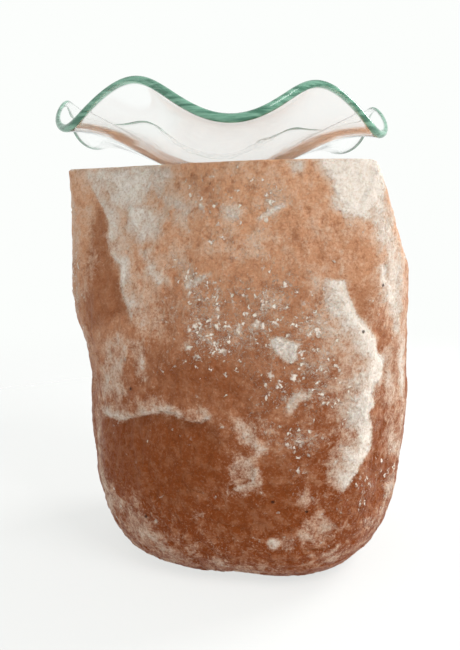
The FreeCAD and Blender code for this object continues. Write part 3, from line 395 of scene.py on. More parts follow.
FRONT_LEDGES = [  # line, drop in mm, reach in px, rise in mm
    (PLATE_EDGE, 2.6, 22, 0.6),
    (SHELF_EDGE, 2.4, 26, 0.5),
    (RIDGE, 1.6, 18, 0.5),
    (LEFT_RIM[::-1], 0.7, 9, 0.2),
    (CORNER_LINE[::-1], 0.8, 12, 0.2),
    (FLAKE_FOOT[::-1], 0.8, 12, 0.4),
    (CHIP_EDGE, 0.7, 6, 0.3),
    (FOOT_CRACK[::-1], 1.2, 6, 0.3),
    (RIGHT_FOLD, 0.8, 7, 0.3),
    (LOW_RIGHT_LIP[::-1], 1.0, 8, 0.4),
    (STREAK_EDGE, 0.5, 8, 0.2),
]

# %% Pale patches on the front, in pixels of the photograph; some are painted light
PLATE = [(309, 274), (318, 274), (330, 282), (343, 281), (346, 294), (355, 315), (368, 330)]
PLATE += [(375, 345), (381, 360), (380, 374), (371, 388), (374, 404), (367, 412), (371, 425)]
PLATE += [(371, 447), (356, 470), (344, 487), (335, 492), (334, 478), (344, 462), (356, 446)]
PLATE += [(356, 425), (340, 420), (334, 400), (344, 384), (345, 362), (328, 338), (314, 306)]
FRONT_PALE_AND_LIT_PATCHES = [  # outline, how pale, softness in px
    (PLATE, 0.40, 26),
    # painted light: the lower right edge is made pale where the light from the right falls on it
    ([(378, 340), (402, 350), (402, 470), (386, 446), (376, 400)], 0.50, 14),
    ([(345, 296), (366, 326), (382, 360), (378, 378), (366, 392), (352, 392), (356, 362),
      (342, 322)], 0.35, 8),
    ([(72, 168), (160, 163), (172, 176), (150, 200), (130, 214), (108, 205), (96, 186),
      (74, 180)], 0.80, 24),
    ([(128, 206), (150, 203), (166, 216), (160, 234), (142, 244), (126, 230)], 0.85, 18),
    ([(160, 196), (178, 186), (200, 205), (186, 226), (168, 218)], 0.45, 18),
    ([(104, 200), (116, 228), (128, 264), (118, 262), (108, 236)], 0.60, 9),
    ([(137, 248), (150, 250), (158, 268), (168, 280), (158, 288), (144, 272)], 0.70, 12),
    ([(122, 276), (132, 276), (140, 300), (152, 330), (142, 344), (130, 316)], 0.50, 8),
    ([(138, 300), (160, 304), (166, 340), (150, 352), (140, 330)], 0.28, 14),
    ([(183, 285), (196, 278), (211, 270), (212, 275), (198, 284), (186, 290)], 0.60, 4),
    ([(222, 208), (236, 202), (246, 208), (238, 222), (224, 220)], 0.50, 8),
    ([(255, 219), (262, 213), (284, 202), (286, 206), (270, 216), (258, 222)], 0.75, 4),
    ([(286, 160), (305, 159), (304, 172), (292, 174)], 0.75, 8),
    # painted light: this patch and the next three make the top right corner and the right edge pale
    # where the light from the upper right and behind falls on them
    ([(318, 158), (382, 158), (383, 196), (366, 216), (346, 214), (334, 202), (336, 180)], 1.30, 16),
    ([(366, 200), (384, 190), (396, 230), (404, 290), (402, 340), (392, 330), (384, 260),
      (372, 226)], 0.80, 16),
    ([(384, 262), (390, 262), (398, 300), (392, 306)], 0.40, 4),
    ([(398, 330), (406, 340), (404, 460), (396, 456), (400, 400), (396, 360)], 0.85, 7),
    ([(105, 338), (118, 332), (127, 338), (118, 372), (108, 398), (100, 402), (102, 350)], 0.50, 8),
    ([(118, 352), (127, 337), (142, 342), (144, 376), (132, 382), (138, 356), (128, 350), (116, 400),
      (106, 398)], 0.45, 5),
    ([(108, 372), (118, 376), (132, 396), (118, 404), (106, 396)], 0.45, 6),
    ([(97, 402), (104, 412), (120, 417), (148, 411), (162, 405), (149, 400), (128, 398),
      (112, 404)], 0.40, 6),
    ([(150, 402), (176, 409), (194, 407), (207, 409), (211, 418), (201, 424), (184, 420),
      (168, 412)], 0.55, 5),
    ([(95, 404), (103, 408), (104, 430), (100, 440), (106, 480), (118, 516), (108, 512),
      (96, 470)], 0.55, 7),
    ([(112, 500), (136, 488), (152, 500), (150, 520), (166, 548), (150, 560), (126, 540)], 0.45, 18),
    ([(120, 545), (164, 560), (200, 570), (290, 574), (286, 566), (210, 556), (150, 534)], 0.40, 10),
    ([(166, 536), (180, 533), (196, 544), (200, 560), (186, 560), (170, 548)], 0.40, 6),
    ([(230, 416), (246, 420), (256, 436), (268, 450), (256, 460), (238, 440)], 0.62, 9),
    ([(228, 462), (244, 452), (258, 464), (252, 480), (236, 488), (224, 492)], 0.48, 7),
    ([(270, 340), (276, 337), (284, 338), (300, 344), (296, 352), (297, 360), (288, 364),
      (276, 354)], 1.0, 3),
    ([(288, 398), (300, 390), (314, 388), (312, 398), (300, 404), (292, 416), (286, 414)], 0.70, 4),
    ([(254, 322), (262, 322), (262, 330), (255, 330)], 0.55, 4),
    ([(296, 486), (306, 484), (314, 500), (306, 512), (294, 504)], 0.35, 10),
    ([(300, 520), (324, 512), (334, 524), (318, 544), (302, 546), (296, 530)], 0.50, 9),
    ([(265, 541), (274, 537), (281, 542), (277, 550), (268, 549)], 0.80, 4),
    ([(280, 540), (294, 540), (294, 552), (280, 552)], 0.35, 6),
    ([(299, 556), (318, 553), (330, 552), (340, 544), (332, 555), (316, 558)], 0.50, 3),
    ([(290, 566), (330, 556), (352, 546), (372, 528), (384, 500), (388, 510), (366, 545),
      (330, 568)], 0.40, 7),
    ([(380, 492), (386, 482), (396, 474), (396, 496), (386, 502)], 0.60, 5),
    ([(182, 340), (192, 341), (190, 352), (180, 350)], 0.50, 5),
    ([(185, 470), (190, 484), (183, 490), (180, 480)], 0.30, 3),
    ([(190, 512), (206, 510), (206, 518), (188, 520)], 0.50, 5),
    ([(360, 520), (372, 512), (372, 530), (366, 536)], 0.40, 5),
]

# Clear and dark places, where light goes deep into the salt and little comes back, and hollows that are
# darkened with painted shade.
CLEAR_AND_SHADED_PATCHES = [
    ([(90, 222), (104, 208), (110, 232), (108, 246), (112, 258), (120, 280), (128, 312), (112, 320),
      (90, 330), (82, 300), (86, 270)], 0.75, 8),
    # painted shade: this patch and the next one darken the hollow under the shelf
    ([(104, 420), (160, 414), (200, 424), (226, 436), (222, 480), (190, 520), (150, 500),
      (112, 470)], 0.85, 18),
    ([(196, 430), (226, 430), (226, 462), (210, 500), (196, 480)], 0.4, 12),
    ([(150, 350), (236, 356), (256, 400), (206, 404), (156, 396)], 0.75, 22),
    ([(256, 468), (296, 452), (300, 500), (296, 530), (270, 536), (220, 540), (206, 520), (226, 494),
      (250, 486)], 0.70, 16),
    # painted shade: this patch and the next two darken the hollow on the low side of the plate's edge
    ([(352, 476), (372, 452), (392, 462), (384, 496), (366, 512), (346, 500)], 0.45, 10),
    ([(382, 362), (384, 374), (374, 392), (378, 424), (372, 440), (384, 440), (392, 400),
      (392, 366)], 0.2, 6),
    ([(346, 286), (356, 300), (372, 326), (384, 340), (384, 316), (368, 290)], 0.35, 8),
    ([(262, 366), (300, 372), (330, 352), (340, 380), (326, 396), (300, 382), (280, 396), (266, 420),
      (250, 412)], 0.35, 10),
    ([(190, 180), (216, 186), (228, 204), (206, 214), (192, 200)], 0.30, 12),
]

# Where the surface is peppered with tiny white crystals.
FLECK_PATCHES = [
    ([(176, 262), (240, 268), (300, 262), (336, 300), (334, 392), (320, 424), (262, 410), (226, 372),
      (178, 366)], 0.85, 30),
    ([(150, 176), (262, 168), (300, 200), (262, 234), (180, 232), (150, 214)], 0.60, 24),
    ([(340, 380), (376, 380), (376, 424), (340, 430)], 0.70, 12),
    ([(344, 470), (390, 452), (392, 500), (360, 524), (336, 508)], 0.70, 16),
    ([(270, 430), (340, 420), (340, 470), (290, 480)], 0.55, 20),
    ([(366, 200), (400, 214), (402, 300), (376, 300)], 0.40, 16),
]
print(f"front: {len(FRONT_LEDGES)} ledges, {len(FRONT_PALE_AND_LIT_PATCHES)} pale patches")

# %% [markdown]
# ## The skin of the crystal
# The skin is one closed sheet, as the skin of a ring is: over the broken outside, in across the
# sawn top, down the warm air shaft, out along the ceiling of the bore, down its wall and back out
# across the underside. Each column of the grid runs once round that loop. Rows lie closer
# together near the edges, so that these stay crisp and only slightly worn.

# %% Rows and columns
FRONT_SHARE = 0.60  # share of the columns that face the camera's half
EDGE_WEAR, EDGE_CHIP = 1.1, 9  # mean radius of the worn top edge and length of its chips, mm
FOOT_WEAR, FOOT_CHIP = 2.6, 14  # the same for the bottom edge


def column_places(count, share):
    """Places 0 to 8 round the crystal, closer together on the front half, which is 4 to 8."""
    turns = np.arange(count) / count
    back = 4 * turns / (1 - share)
    front = 4 + 4 * (turns - (1 - share)) / share
    return np.where(turns < 1 - share, back, front)


def crowded_rows(count, crowd=0.35):
    """Shares 0 to 1 that lie closer together near both ends: s - crowd * sin(2 pi s) / (2 pi)."""
    s = np.linspace(0, 1, count)
    return s - crowd * np.sin(2 * math.pi * s) / math.pi / 2


def facing_front(points):
    """1 where the skin faces the camera, 0 where it faces away, from its direction off the axis."""
    outward = points[..., :2] / np.hypot(points[..., 0], points[..., 1])[..., None]
    towards = CAMERA_PLACE[:2] - points[..., :2]
    towards /= np.linalg.norm(towards, axis=-1)[..., None]
    return smooth_step((outward * towards).sum(-1), -0.12, 0.10)


# %% Relief of the skin
def unrolled(points):
    """The skin laid flat: millimetres round the crystal and height, both counted as on a map."""
    round_it = np.arctan2(points[..., 1], points[..., 0]) * WIDTH / 2
    return np.stack([round_it, TOP_Z - points[..., 2]], -1)


SIDE_LEDGES = [  # line on the unrolled skin, drop, reach and rise, all in mm
    ([(20, 30), (34, 22), (52, 26), (66, 44), (74, 66)], 2.2, 16, 0.4),
    ([(130, 90), (108, 84), (90, 96), (76, 92), (60, 104)], 2.4, 18, 0.5),
    ([(176, 20), (168, 48), (178, 74), (172, 100)], 1.6, 12, 0.4),
    ([(-8, 60), (4, 84), (0, 110), (-14, 128)], 1.6, 12, 0.4),
    ([(100, 20), (120, 34), (142, 30), (160, 44)], 1.8, 14, 0.4),
    ([(30, 130), (52, 122), (80, 132), (104, 126)], 1.6, 12, 0.3),
    ([(196, 70), (206, 96), (200, 124)], 1.6, 12, 0.3),
]


SWELL_HEIGHT, SWELL_SIZE = 0.9, 34  # how high and how wide each kind of relief is, mm
SCALLOP_HEIGHT, SCALLOP_SIZE = 0.9, 15
CHIP_DEPTH, CHIP_SIZE = 0.5, 6.5
GRAIN_HEIGHT, GRAIN_SIZE = 0.26, 2.6
SCALLOP_STRETCH = np.array([1.0, 1.0, 0.7])  # scallops are a little longer upwards
SCALLOP_MEAN = 0.75
CHIP_WIDTH = 0.25  # chips lie where their noise is this close to 0


def skin_relief(points, front):
    """Relief in mm: ledges, broad swells, scalloped breaks, small chips and grain.

    Scallops are 1 - |noise|, which has sharp ridges where the noise goes through 0.
    """
    pixels = photo_place(points)
    relief = np.zeros(points.shape[:-1])
    for line, drop, reach, rise in FRONT_LEDGES:
        relief += front * ledge(pixels, line, drop, reach, rise)
    flat = unrolled(points)
    for line, drop, reach, rise in SIDE_LEDGES:
        relief += (1 - front) * ledge(flat, line, drop, reach, rise)
    relief += SWELL_HEIGHT * layered_noise(points, SWELL_SIZE, 2, 11)
    scallops = 1 - np.abs(layered_noise(points * SCALLOP_STRETCH, SCALLOP_SIZE, 3, 23))
    relief += SCALLOP_HEIGHT * (scallops - SCALLOP_MEAN)
    chips = np.abs(layered_noise(points, CHIP_SIZE, 3, 37))
    relief -= CHIP_DEPTH * smooth_step(CHIP_WIDTH - chips, 0.0, CHIP_WIDTH)
    return relief + GRAIN_HEIGHT * layered_noise(points, GRAIN_SIZE, 2, 51)


# %% The whole skin
def crystal_skin():
    """Points of the outside: the lump with its relief, and worn round along its two edges."""
    places = column_places(COLUMNS, FRONT_SHARE)
    shares = crowded_rows(SKIN_ROWS)
    outside = crystal_lump(shares, places)
    front = facing_front(outside)
    reach = np.hypot(outside[..., 0], outside[..., 1])
    top_wear = EDGE_WEAR * (1 + 0.9 * layered_noise(outside[-1:], EDGE_CHIP, 3, 71))
    foot_wear = FOOT_WEAR * (1 + 0.7 * layered_noise(outside[:1], FOOT_CHIP, 3, 83))
    worn = np.zeros_like(reach)
    for wear, gap in ((top_wear, TOP_Z - outside[..., 2]), (foot_wear, outside[..., 2] - BASE_Z)):
        inside = np.clip(1 - gap / wear, 0, 1)
        worn += wear * (1 - np.sqrt(1 - inside**2))
    moved = reach + skin_relief(outside, front) - worn
    outside[..., :2] *= (moved / reach)[..., None]
    return outside


def ring_at(angles, radius, z):
    """A flat circle of points at the given angles."""
    spread = np.broadcast_to(z, angles.shape)
    return np.stack([radius * np.cos(angles), radius * np.sin(angles), spread], -1)


def between(first, last, count):
    """Rings in between two rings, evenly spaced, without the first and the last."""
    shares = np.arange(1, count + 1)[:, None, None] / (count + 1)
    return first * (1 - shares) + last * shares


def closed_skin(outside):
    """The outside, the sawn top, the shaft, the bore and the sawn underside as one closed loop."""
    foot_angles = np.arctan2(outside[0, :, 1], outside[0, :, 0])
    top_angles = np.arctan2(outside[-1, :, 1], outside[-1, :, 0])
    shaft_top = ring_at(top_angles, SHAFT_RADIUS, TOP_Z)
    shaft_foot = ring_at(top_angles, SHAFT_RADIUS, BORE_TOP_Z)
    bore_top = ring_at(foot_angles, BORE_RADIUS, BORE_TOP_Z)
    bore_foot = ring_at(foot_angles, BORE_RADIUS, BASE_Z + MOUTH_CHAMFER)
    mouth = ring_at(foot_angles, BORE_RADIUS + MOUTH_CHAMFER, BASE_Z)
    rows = [outside, between(outside[-1], shaft_top, 9), shaft_top[None]]
    rows += [between(shaft_top, shaft_foot, 3), shaft_foot[None]]
    rows += [between(shaft_foot, bore_top, 2), bore_top[None]]
    rows += [between(bore_top, bore_foot, 6), bore_foot[None], mouth[None]]
    rows += [between(mouth, outside[0], 7)]
    return np.concatenate(rows)


outside = crystal_skin()
skin = closed_skin(outside)
print(f"skin: {skin.shape[0]} rows of {skin.shape[1]} points")

# %% [markdown]
# ## Where the salt is pale, clear or peppered
# Broken salt is cloudy with frost where the grains were crushed, and clear and dark where it split
# along a crystal face. Three numbers at every point of the skin say this: how frosted it is, how
# clear, and how many tiny white crystals lie on it. The front follows the patches above, and the
# other sides get the same mixture from noise. On the front, the frost also holds painted light
# along the top right corner and the right edge, and the clearness holds painted shade in the
# hollows under the shelf and beside the plate. A fourth number says where the salt was sawn or
# drilled. The material turns the numbers into colour.


# %% Masks over the skin
FROSTED_EDGES = [  # line, how pale, how far on the high side and on the low side, in px
    (PLATE_EDGE, 1.30, 26, 2),
    (SHELF_EDGE, 0.95, 11, 2),
    (RIDGE, 0.80, 16, 2),
    (LEFT_RIM[::-1], 0.45, 14, 3),
    (CORNER_LINE[::-1], 0.5, 16, 6),
    (FLAKE_FOOT[::-1], 0.85, 14, 2),
    (RIGHT_FOLD, 0.95, 7, 4),
    (STREAK_EDGE, 0.75, 7, 3),
]
PATCH_SPREAD = 1.6  # how much softer the patches are than they were drawn
CLOUD_SIZE, CLOUDLET_SIZE = 42, 12  # frosted and clear places on the other sides, mm
FLECKED_SIZE = 30  # peppered places on the other sides, mm
LEDGE_FROST = 9  # how far frost reaches from a ledge on the other sides, mm
TOP_FROST = 3.75  # how far it reaches down from the sawn top there, mm


def front_mask(pixels, patches):
    """The strongest of the patches at every point."""
    mask = np.zeros(pixels.shape[:-1])
    for outline, strength, softness in patches:
        mask = np.maximum(mask, strength * patch(pixels, outline, softness * PATCH_SPREAD))
    return mask


def frosted_edges(pixels):
    """Frost that is palest at a broken edge and fades off it as exp(-distance / reach)."""
    mask = np.zeros(pixels.shape[:-1])
    for line, strength, high, low in FROSTED_EDGES:
        distance, side, along = along_line(pixels, line)
        ends = smooth_step(along, 0.0, 0.08) * smooth_step(1 - along, 0.0, 0.08)
        mask = np.maximum(mask, strength * ends * np.exp(-distance / np.where(side < 0, high, low)))
    return mask


def beside_ledges(places, ledges, spread):
    """1 along the high side of each ledge, where its broken edge is crushed and pale."""
    mask = np.zeros(places.shape[:-1])
    for line, drop, _, _ in ledges:
        distance, side, along = along_line(places, line)
        ends = smooth_step(along, 0.0, 0.1) * smooth_step(1 - along, 0.0, 0.1)
        reach = np.where(side < 0, spread, spread / 4)
        mask = np.maximum(mask, ends * min(drop / 2, 1) * np.exp(-((distance / reach) ** 2)))
    return mask


def skin_masks(points):
    """Frost, clearness and flecks from 0 to 1 at every point of the outside; on the front, frost holds
    some painted light and clearness some painted shade.
    """
    front = facing_front(points)
    pixels = photo_place(points)
    flat = unrolled(points)
    back = 1 - front
    broad = layered_noise(points, CLOUD_SIZE, 3, 101)
    cloud = smooth_step(broad + 0.4 * layered_noise(points, CLOUDLET_SIZE, 2, 113), 0.15, 1.1)
    # on the front, the frost also holds painted light on the top right corner and the right edge
    frost = front * np.maximum(front_mask(pixels, FRONT_PALE_AND_LIT_PATCHES), frosted_edges(pixels))
    frost += back * 0.75 * cloud
    frost = np.maximum(frost, back * 0.8 * beside_ledges(flat, SIDE_LEDGES, LEDGE_FROST))
    # on the front, the clearness also holds painted shade in the hollows under the shelf and beside the
    # plate
    clear = front * front_mask(pixels, CLEAR_AND_SHADED_PATCHES)
    clear += back * 0.8 * smooth_step(-broad, 0.1, 0.8)
    fleck = front * front_mask(pixels, FLECK_PATCHES)
    fleck += back * 0.7 * smooth_step(layered_noise(points, FLECKED_SIZE, 2, 127), -0.1, 0.7)
    frost = np.maximum(frost, back * 0.5 * np.exp((points[..., 2] - TOP_Z) / TOP_FROST))
    return frost, clear, fleck


def over_skin(values, sawn_value):
    """The same mask for the closed skin: its sawn and drilled rows get one value."""
    sawn = np.full((skin.shape[0] - outside.shape[0], values.shape[1]), sawn_value)
    return np.concatenate([values, sawn])


frost, clear, fleck = skin_masks(outside)
skin_values = {
    "frost": over_skin(frost, 0.3),
    "clear": over_skin(clear, 0.0),
    "fleck": over_skin(fleck, 0.3),
    "sawn": over_skin(np.zeros_like(frost), 1.0),
}
print(f"mean frost {frost.mean():.2f}, clear {clear.mean():.2f}, fleck {fleck.mean():.2f}")

# %% [markdown]
# ## The cord groove
# The lamp stands flat although its cord comes out at the back, because a groove is sawn across
# the underside from the bore. A Boolean modifier cuts it from the finished skin, and is applied,
# so that the mesh keeps it.

# %% The salt and its groove
GROOVE_HALF = 5.0
GROOVE_TOP_Z = 11.0
GROOVE_OUT = 90.0  # past the back of the crystal


def box_piece(name, low, high):
    """A closed box between two corners in millimetres, used only as a cutter."""
    corners = np.array([[x, y, z] for z in (low[2], high[2]) for x, y in
                        [(low[0], low[1]), (high[0], low[1]), (high[0], high[1]), (low[0], high[1])]])
    faces = [(3, 2, 1, 0), (4, 5, 6, 7), (0, 1, 5, 4), (1, 2, 6, 5), (2, 3, 7, 6), (3, 0, 4, 7)]
    mesh = bpy.data.meshes.new(name)
    mesh.from_pydata((corners * MM).tolist(), [], faces)
    for label, value in (("frost", 0.3), ("sawn", 1.0)):
        layer = mesh.attributes.new(label, "FLOAT", "POINT")
        layer.data.foreach_set("value", np.full(8, value, dtype=np.float32))
    cutter = bpy.data.objects.new(name, mesh)
    bpy.context.collection.objects.link(cutter)
    return cutter


def apply_modifiers(piece):
    """Replaces a piece's mesh by what its modifiers make of it."""
    bpy.context.view_layer.update()
    shaped = piece.evaluated_get(bpy.context.evaluated_depsgraph_get())
    mesh = bpy.data.meshes.new_from_object(shaped)
    piece.modifiers.clear()
    piece.data = mesh


salt = grid_piece("salt_skin", skin, close_rows=True, attributes=skin_values)
cutter = box_piece("groove_cutter", (-GROOVE_HALF, 0, -5), (GROOVE_HALF, GROOVE_OUT, GROOVE_TOP_Z))
cut = salt.modifiers.new("cord_groove", "BOOLEAN")
cut.operation = "DIFFERENCE"
cut.solver = "EXACT"
cut.object = cutter
apply_modifiers(salt)
bpy.data.objects.remove(cutter)
salt.data.set_sharp_from_angle(angle=math.radians(62))
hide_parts("salt_crystal")
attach(salt, "crystal")
print(f"salt: {len(salt.data.polygons)} faces after the groove")

# %% [markdown]
# ## Writing materials as formulas
# A material is a formula over the surface: a colour here, a roughness there, each worked out from
# noise, height or the numbers stored in the mesh. Blender draws such a formula as nodes. A small
# class stands for one wire between nodes and gives it the signs of arithmetic, so that the
# formula can be written on one line and the nodes follow.


# %% Wires and recipes
class Wire:
    """One number, colour or vector on its way between two nodes."""

    def __init__(self, recipe, socket):
        self.recipe = recipe
        self.socket = socket

    def maths(self, operation, *values):
        return self.recipe.node("ShaderNodeMath", {"operation": operation}, *values)

    def __add__(self, other):
        return self.maths("ADD", self, other)

    def __mul__(self, other):
        return self.maths("MULTIPLY", self, other)

    def __sub__(self, other):
        return self.maths("SUBTRACT", self, other)

    def __rsub__(self, other):
        return self.maths("SUBTRACT", other, self)

    def __or__(self, other):
        """The greater of two numbers, as for two masks where either counts."""
        return self.maths("MAXIMUM", self, other)

    __radd__ = __add__
    __rmul__ = __mul__


class Recipe:
    """The nodes of one material, or of the world, and the ways in which they are made."""

    def __init__(self, owner):
        self.owner = owner
        owner.use_nodes = True
        self.tree = owner.node_tree
        self.tree.nodes.clear()
        self.bumps = None

    def node(self, kind, settings, *values, output=0, **named):
        """Adds a node: its settings first, then values or wires for its sockets."""
        made = self.tree.nodes.new(kind)
        for key, value in settings.items():
            setattr(made, key, value)
        for place, value in [*enumerate(values), *named.items()]:
            socket = made.inputs[place if isinstance(place, int) else place.replace("_", " ")]
            if isinstance(value, Wire):
                self.tree.links.new(value.socket, socket)
            elif value is not None:
                socket.default_value = value
        return Wire(self, made.outputs[output])

    def place(self, stretch=(1, 1, 1)):
        """Where the point is on the object, in millimetres, stretched along the axes."""
        here = self.node("ShaderNodeTexCoord", {}, output="Object")
        scale = [1 / MM / s for s in stretch]
        return self.node("ShaderNodeVectorMath", {"operation": "MULTIPLY"}, here, scale)

    def axis(self, vector, index):
        return self.node("ShaderNodeSeparateXYZ", {}, vector, output=index)

    def stored(self, name):
        """A number stored at every point of the mesh."""
        return self.node("ShaderNodeAttribute", {"attribute_name": name}, output="Fac")

    def noise(self, place, size, layers, rough):
        """Noise from 0 to 1 with lumps of that size in millimetres, and finer layers on them."""
        values = {"Scale": 1 / size, "Detail": layers, "Roughness": rough}
        return self.node("ShaderNodeTexNoise", {}, place, **values)

    def cells(self, place, size, feature="F1", output="Distance"):
        """Distance to the nearest of scattered points, or that point's own random colour."""
        settings = {"feature": feature}
        return self.node("ShaderNodeTexVoronoi", settings, place, output=output, Scale=1 / size)

    def rise(self, value, low, high, start=0.0, end=1.0):
        """A smooth step of a value from start at low to end at high."""
        settings = {"interpolation_type": "SMOOTHSTEP"}
        return self.node("ShaderNodeMapRange", settings, value, low, high, start, end)

    def mix(self, share, first, second):
        """A colour that goes from first to second as share goes from 0 to 1."""
        made = self.tree.nodes.new("ShaderNodeMix")
        made.data_type = "RGBA"
        made.clamp_factor = True
        for place, value in ((0, share), (6, first), (7, second)):
            if isinstance(value, Wire):
                self.tree.links.new(value.socket, made.inputs[place])
            else:
                made.inputs[place].default_value = value
        return Wire(self, made.outputs[2])

    def warped(self, place, size, strength):
        """The place pushed about by noise, so that patterns on it lose their straight lines."""
        push = self.node("ShaderNodeTexNoise", {}, place, output="Color", Scale=1 / size, Detail=2.0)
        centred = self.node("ShaderNodeVectorMath", {"operation": "SUBTRACT"}, push, (0.5, 0.5, 0.5))
        scaled = self.node("ShaderNodeVectorMath", {"operation": "SCALE"}, centred, Scale=strength)
        return self.node("ShaderNodeVectorMath", {"operation": "ADD"}, place, scaled)

    def bump(self, height, depth, strength=1.0):
        """Relief that only bends the light: height 1 stands depth millimetres out."""
        values = {"Strength": strength, "Distance": depth * MM, "Height": height}
        if self.bumps:
            values["Normal"] = self.bumps
        self.bumps = self.node("ShaderNodeBump", {}, **values)

    def finish(self, color, roughness, **constants):
        """The surface shader, with its output."""
        shader = self.node("ShaderNodeBsdfPrincipled", {}, Base_Color=color, Roughness=roughness,
                           Normal=self.bumps, **constants)
        return self.output(shader)

    def output(self, shader, volume=None):
        made = self.tree.nodes.new("ShaderNodeOutputMaterial")
        self.tree.links.new(shader.socket, made.inputs["Surface"])
        if volume:
            self.tree.links.new(volume.socket, made.inputs["Volume"])
        return self.owner


def paint(red, green, blue):
    """A colour as it is seen on a screen, 0 to 255, as the light it stands for, 0 to 1."""
    seen = [c / 255 for c in (red, green, blue)]
    return (*(c / 12.92 if c <= 0.04045 else ((c + 0.055) / 1.055) ** 2.4 for c in seen), 1.0)


def cover(piece, material):
    """Gives a piece, new or from the frame, one material in place of any it has."""
    piece.data.materials.clear()
    piece.data.materials.append(material)


# %% [markdown]
# ## Rock salt
# Rock salt of this kind is a cloudy orange brown, deeper where it is thick and clear. Where it
# broke, a film of crushed salt makes it pale, and this film is patchy down to the size of the
# grains. The recipe lays these over each other: the body colour, paler towards the top and darker
# towards the foot as painted light and shade from above, the frost, small white crystals and a
# few dark pits with painted shade in them. Light also travels a little way inside, so the shader
# gets a small share of light scattered under the surface.


# %% Colours of the salt
SALT = {
    # foot and top are the same salt, with painted shade at the foot and painted light at the top
    "foot": paint(130, 61, 16), "top": paint(212, 158, 120), "clear": paint(128, 62, 14),
    "pale spot": paint(192, 142, 108), "dark spot": paint(126, 62, 22), "film": paint(224, 196, 172),
    "crust": paint(226, 212, 196), "bright crust": paint(248, 243, 234), "glint": paint(230, 198, 170),
    # pit is the painted shade in the pits
    "shaded": paint(108, 56, 28), "crystal": paint(246, 235, 220), "pit shade": paint(62, 34, 22),
    "sawn": paint(190, 134, 100), "scratched": paint(220, 182, 154),
}
# the body colour goes from painted shade at the foot to painted light at the top between these heights
FOOT_SHADE_Z, TOP_LIGHT_Z = 35, 168  # the body colour changes between these heights, mm
CLOUD_SWAY = 60  # and goes up and down by this much with the clouds in the salt, mm
CHIP_KINDS = ((1.3, 1.035), (2.7, 1.10))  # width of white chips in mm, and how rare they are
PIT_SPACING = 6.5  # mm
print(f"salt: {len(SALT)} colours")


# %% Numbers that the salt's colours are mixed by
def salt_numbers(recipe):
    """Height in mm, the numbers stored in the mesh, and noise in four sizes."""
    here = recipe.place()
    stored = {name: recipe.stored(name) for name in ("frost", "clear", "fleck", "sawn")}
    return stored | {
        "height": recipe.axis(here, 2),
        "cloud": recipe.noise(here, 38, 3, 0.55),
        "haze": recipe.noise(recipe.warped(here, 16, 9), 12, 7, 0.66),
        "mottle": recipe.noise(here, 4.2, 5, 0.66),
        "grain": recipe.noise(here, 0.95, 4, 0.75),
    }


# %% Body and frost
def salt_body(recipe, at):
    """Orange brown with painted light from above, paler towards the top and darker at the foot; deeper
    where it is clear; and how high it is.
    """
    # painted light and shade from above: the body is paler towards the top and darker at the foot
    up = recipe.rise(at["height"] + (at["cloud"] - 0.5) * CLOUD_SWAY, FOOT_SHADE_Z, TOP_LIGHT_Z)
    body = recipe.mix(up, SALT["foot"], SALT["top"])
    # clear also darkens the hollows on the front with painted shade
    body = recipe.mix(at["clear"] * 0.8, body, SALT["clear"])
    pale = recipe.rise(at["mottle"], 0.44, 0.66) * (1 - at["clear"] * 0.7)
    body = recipe.mix(pale * 0.50, body, SALT["pale spot"])
    dark = recipe.rise(at["mottle"], 0.50, 0.32)
    return recipe.mix(dark * 0.45, body, SALT["dark spot"]), up


def salt_frost(recipe, at, body, up):
    """A thin film that follows the haze, and a thick crust where the salt was crushed; both also carry
    painted light towards the top and on the front's right edge.
    """
    film = at["frost"] * 1.2 + (at["haze"] - 0.5) * 2.3
    film = film + (at["mottle"] - 0.5) * 1.3 + (at["grain"] - 0.5) * 1.2
    # the term with up adds painted light to the film towards the top
    film = film + up * 0.38 - at["clear"] * 0.5 - 0.05
    thin = recipe.rise(film, 0.08, 0.95)
    thick = recipe.rise(film, 0.50, 1.45) * recipe.rise(at["frost"], 0.05, 0.60)
    color = recipe.mix(thin * 0.74, body, SALT["film"])
    crust = recipe.mix(recipe.rise(at["grain"], 0.35, 0.65), SALT["crust"], SALT["bright crust"])
    return recipe.mix(thick * 0.92, color, crust), thin, thick


# %% Grains, crystals and pits with painted shade
def salt_grains(recipe, at, color, thick):
    """Light and dark grains all over."""
    glints = recipe.rise(at["grain"], 0.50, 0.74) * (1 - at["clear"] * 0.6)
    color = recipe.mix(glints * 0.36, color, SALT["glint"])
    shaded = recipe.rise(at["grain"], 0.50, 0.26) * (1 - thick)
    return recipe.mix(shaded * 0.40, color, SALT["shaded"])


def salt_crystals(recipe, at):
    """1 on small white crystals: a fine sprinkle, and broken chips, which are rare whole cells."""
    bent = recipe.warped(recipe.place(), 1.5, 2.4)
    cloudy = at["haze"] - 0.5
    sprinkle = recipe.noise(bent, 0.8, 3, 0.8) + at["fleck"] * 0.13 + cloudy * 0.45
    crystals = recipe.rise(sprinkle - at["clear"] * 0.05, 0.63, 0.80) * 0.8
    for size, rarity in CHIP_KINDS:
        chance = recipe.axis(recipe.cells(bent, size, output="Color"), 0)
        inside = recipe.cells(bent, size, "DISTANCE_TO_EDGE")
        likely = chance + at["fleck"] * 0.17 + cloudy * 0.6
        wanted = recipe.rise(likely, rarity - 0.04, rarity + 0.03)
        crystals = crystals | (recipe.rise(inside, 0.02, 0.22) * wanted * 0.95)
    return crystals


def shaded_salt_pits(recipe):
    """1 in a few small pits, the middle of rare cells, which are painted dark as their shade."""
    bent = recipe.warped(recipe.place(), 3, 1.0)
    near = recipe.cells(bent, PIT_SPACING)
    chance = recipe.axis(recipe.cells(bent, PIT_SPACING, output="Color"), 1)
    return recipe.rise(near, 0.12, 0.05) * recipe.rise(chance, 0.84, 0.92)


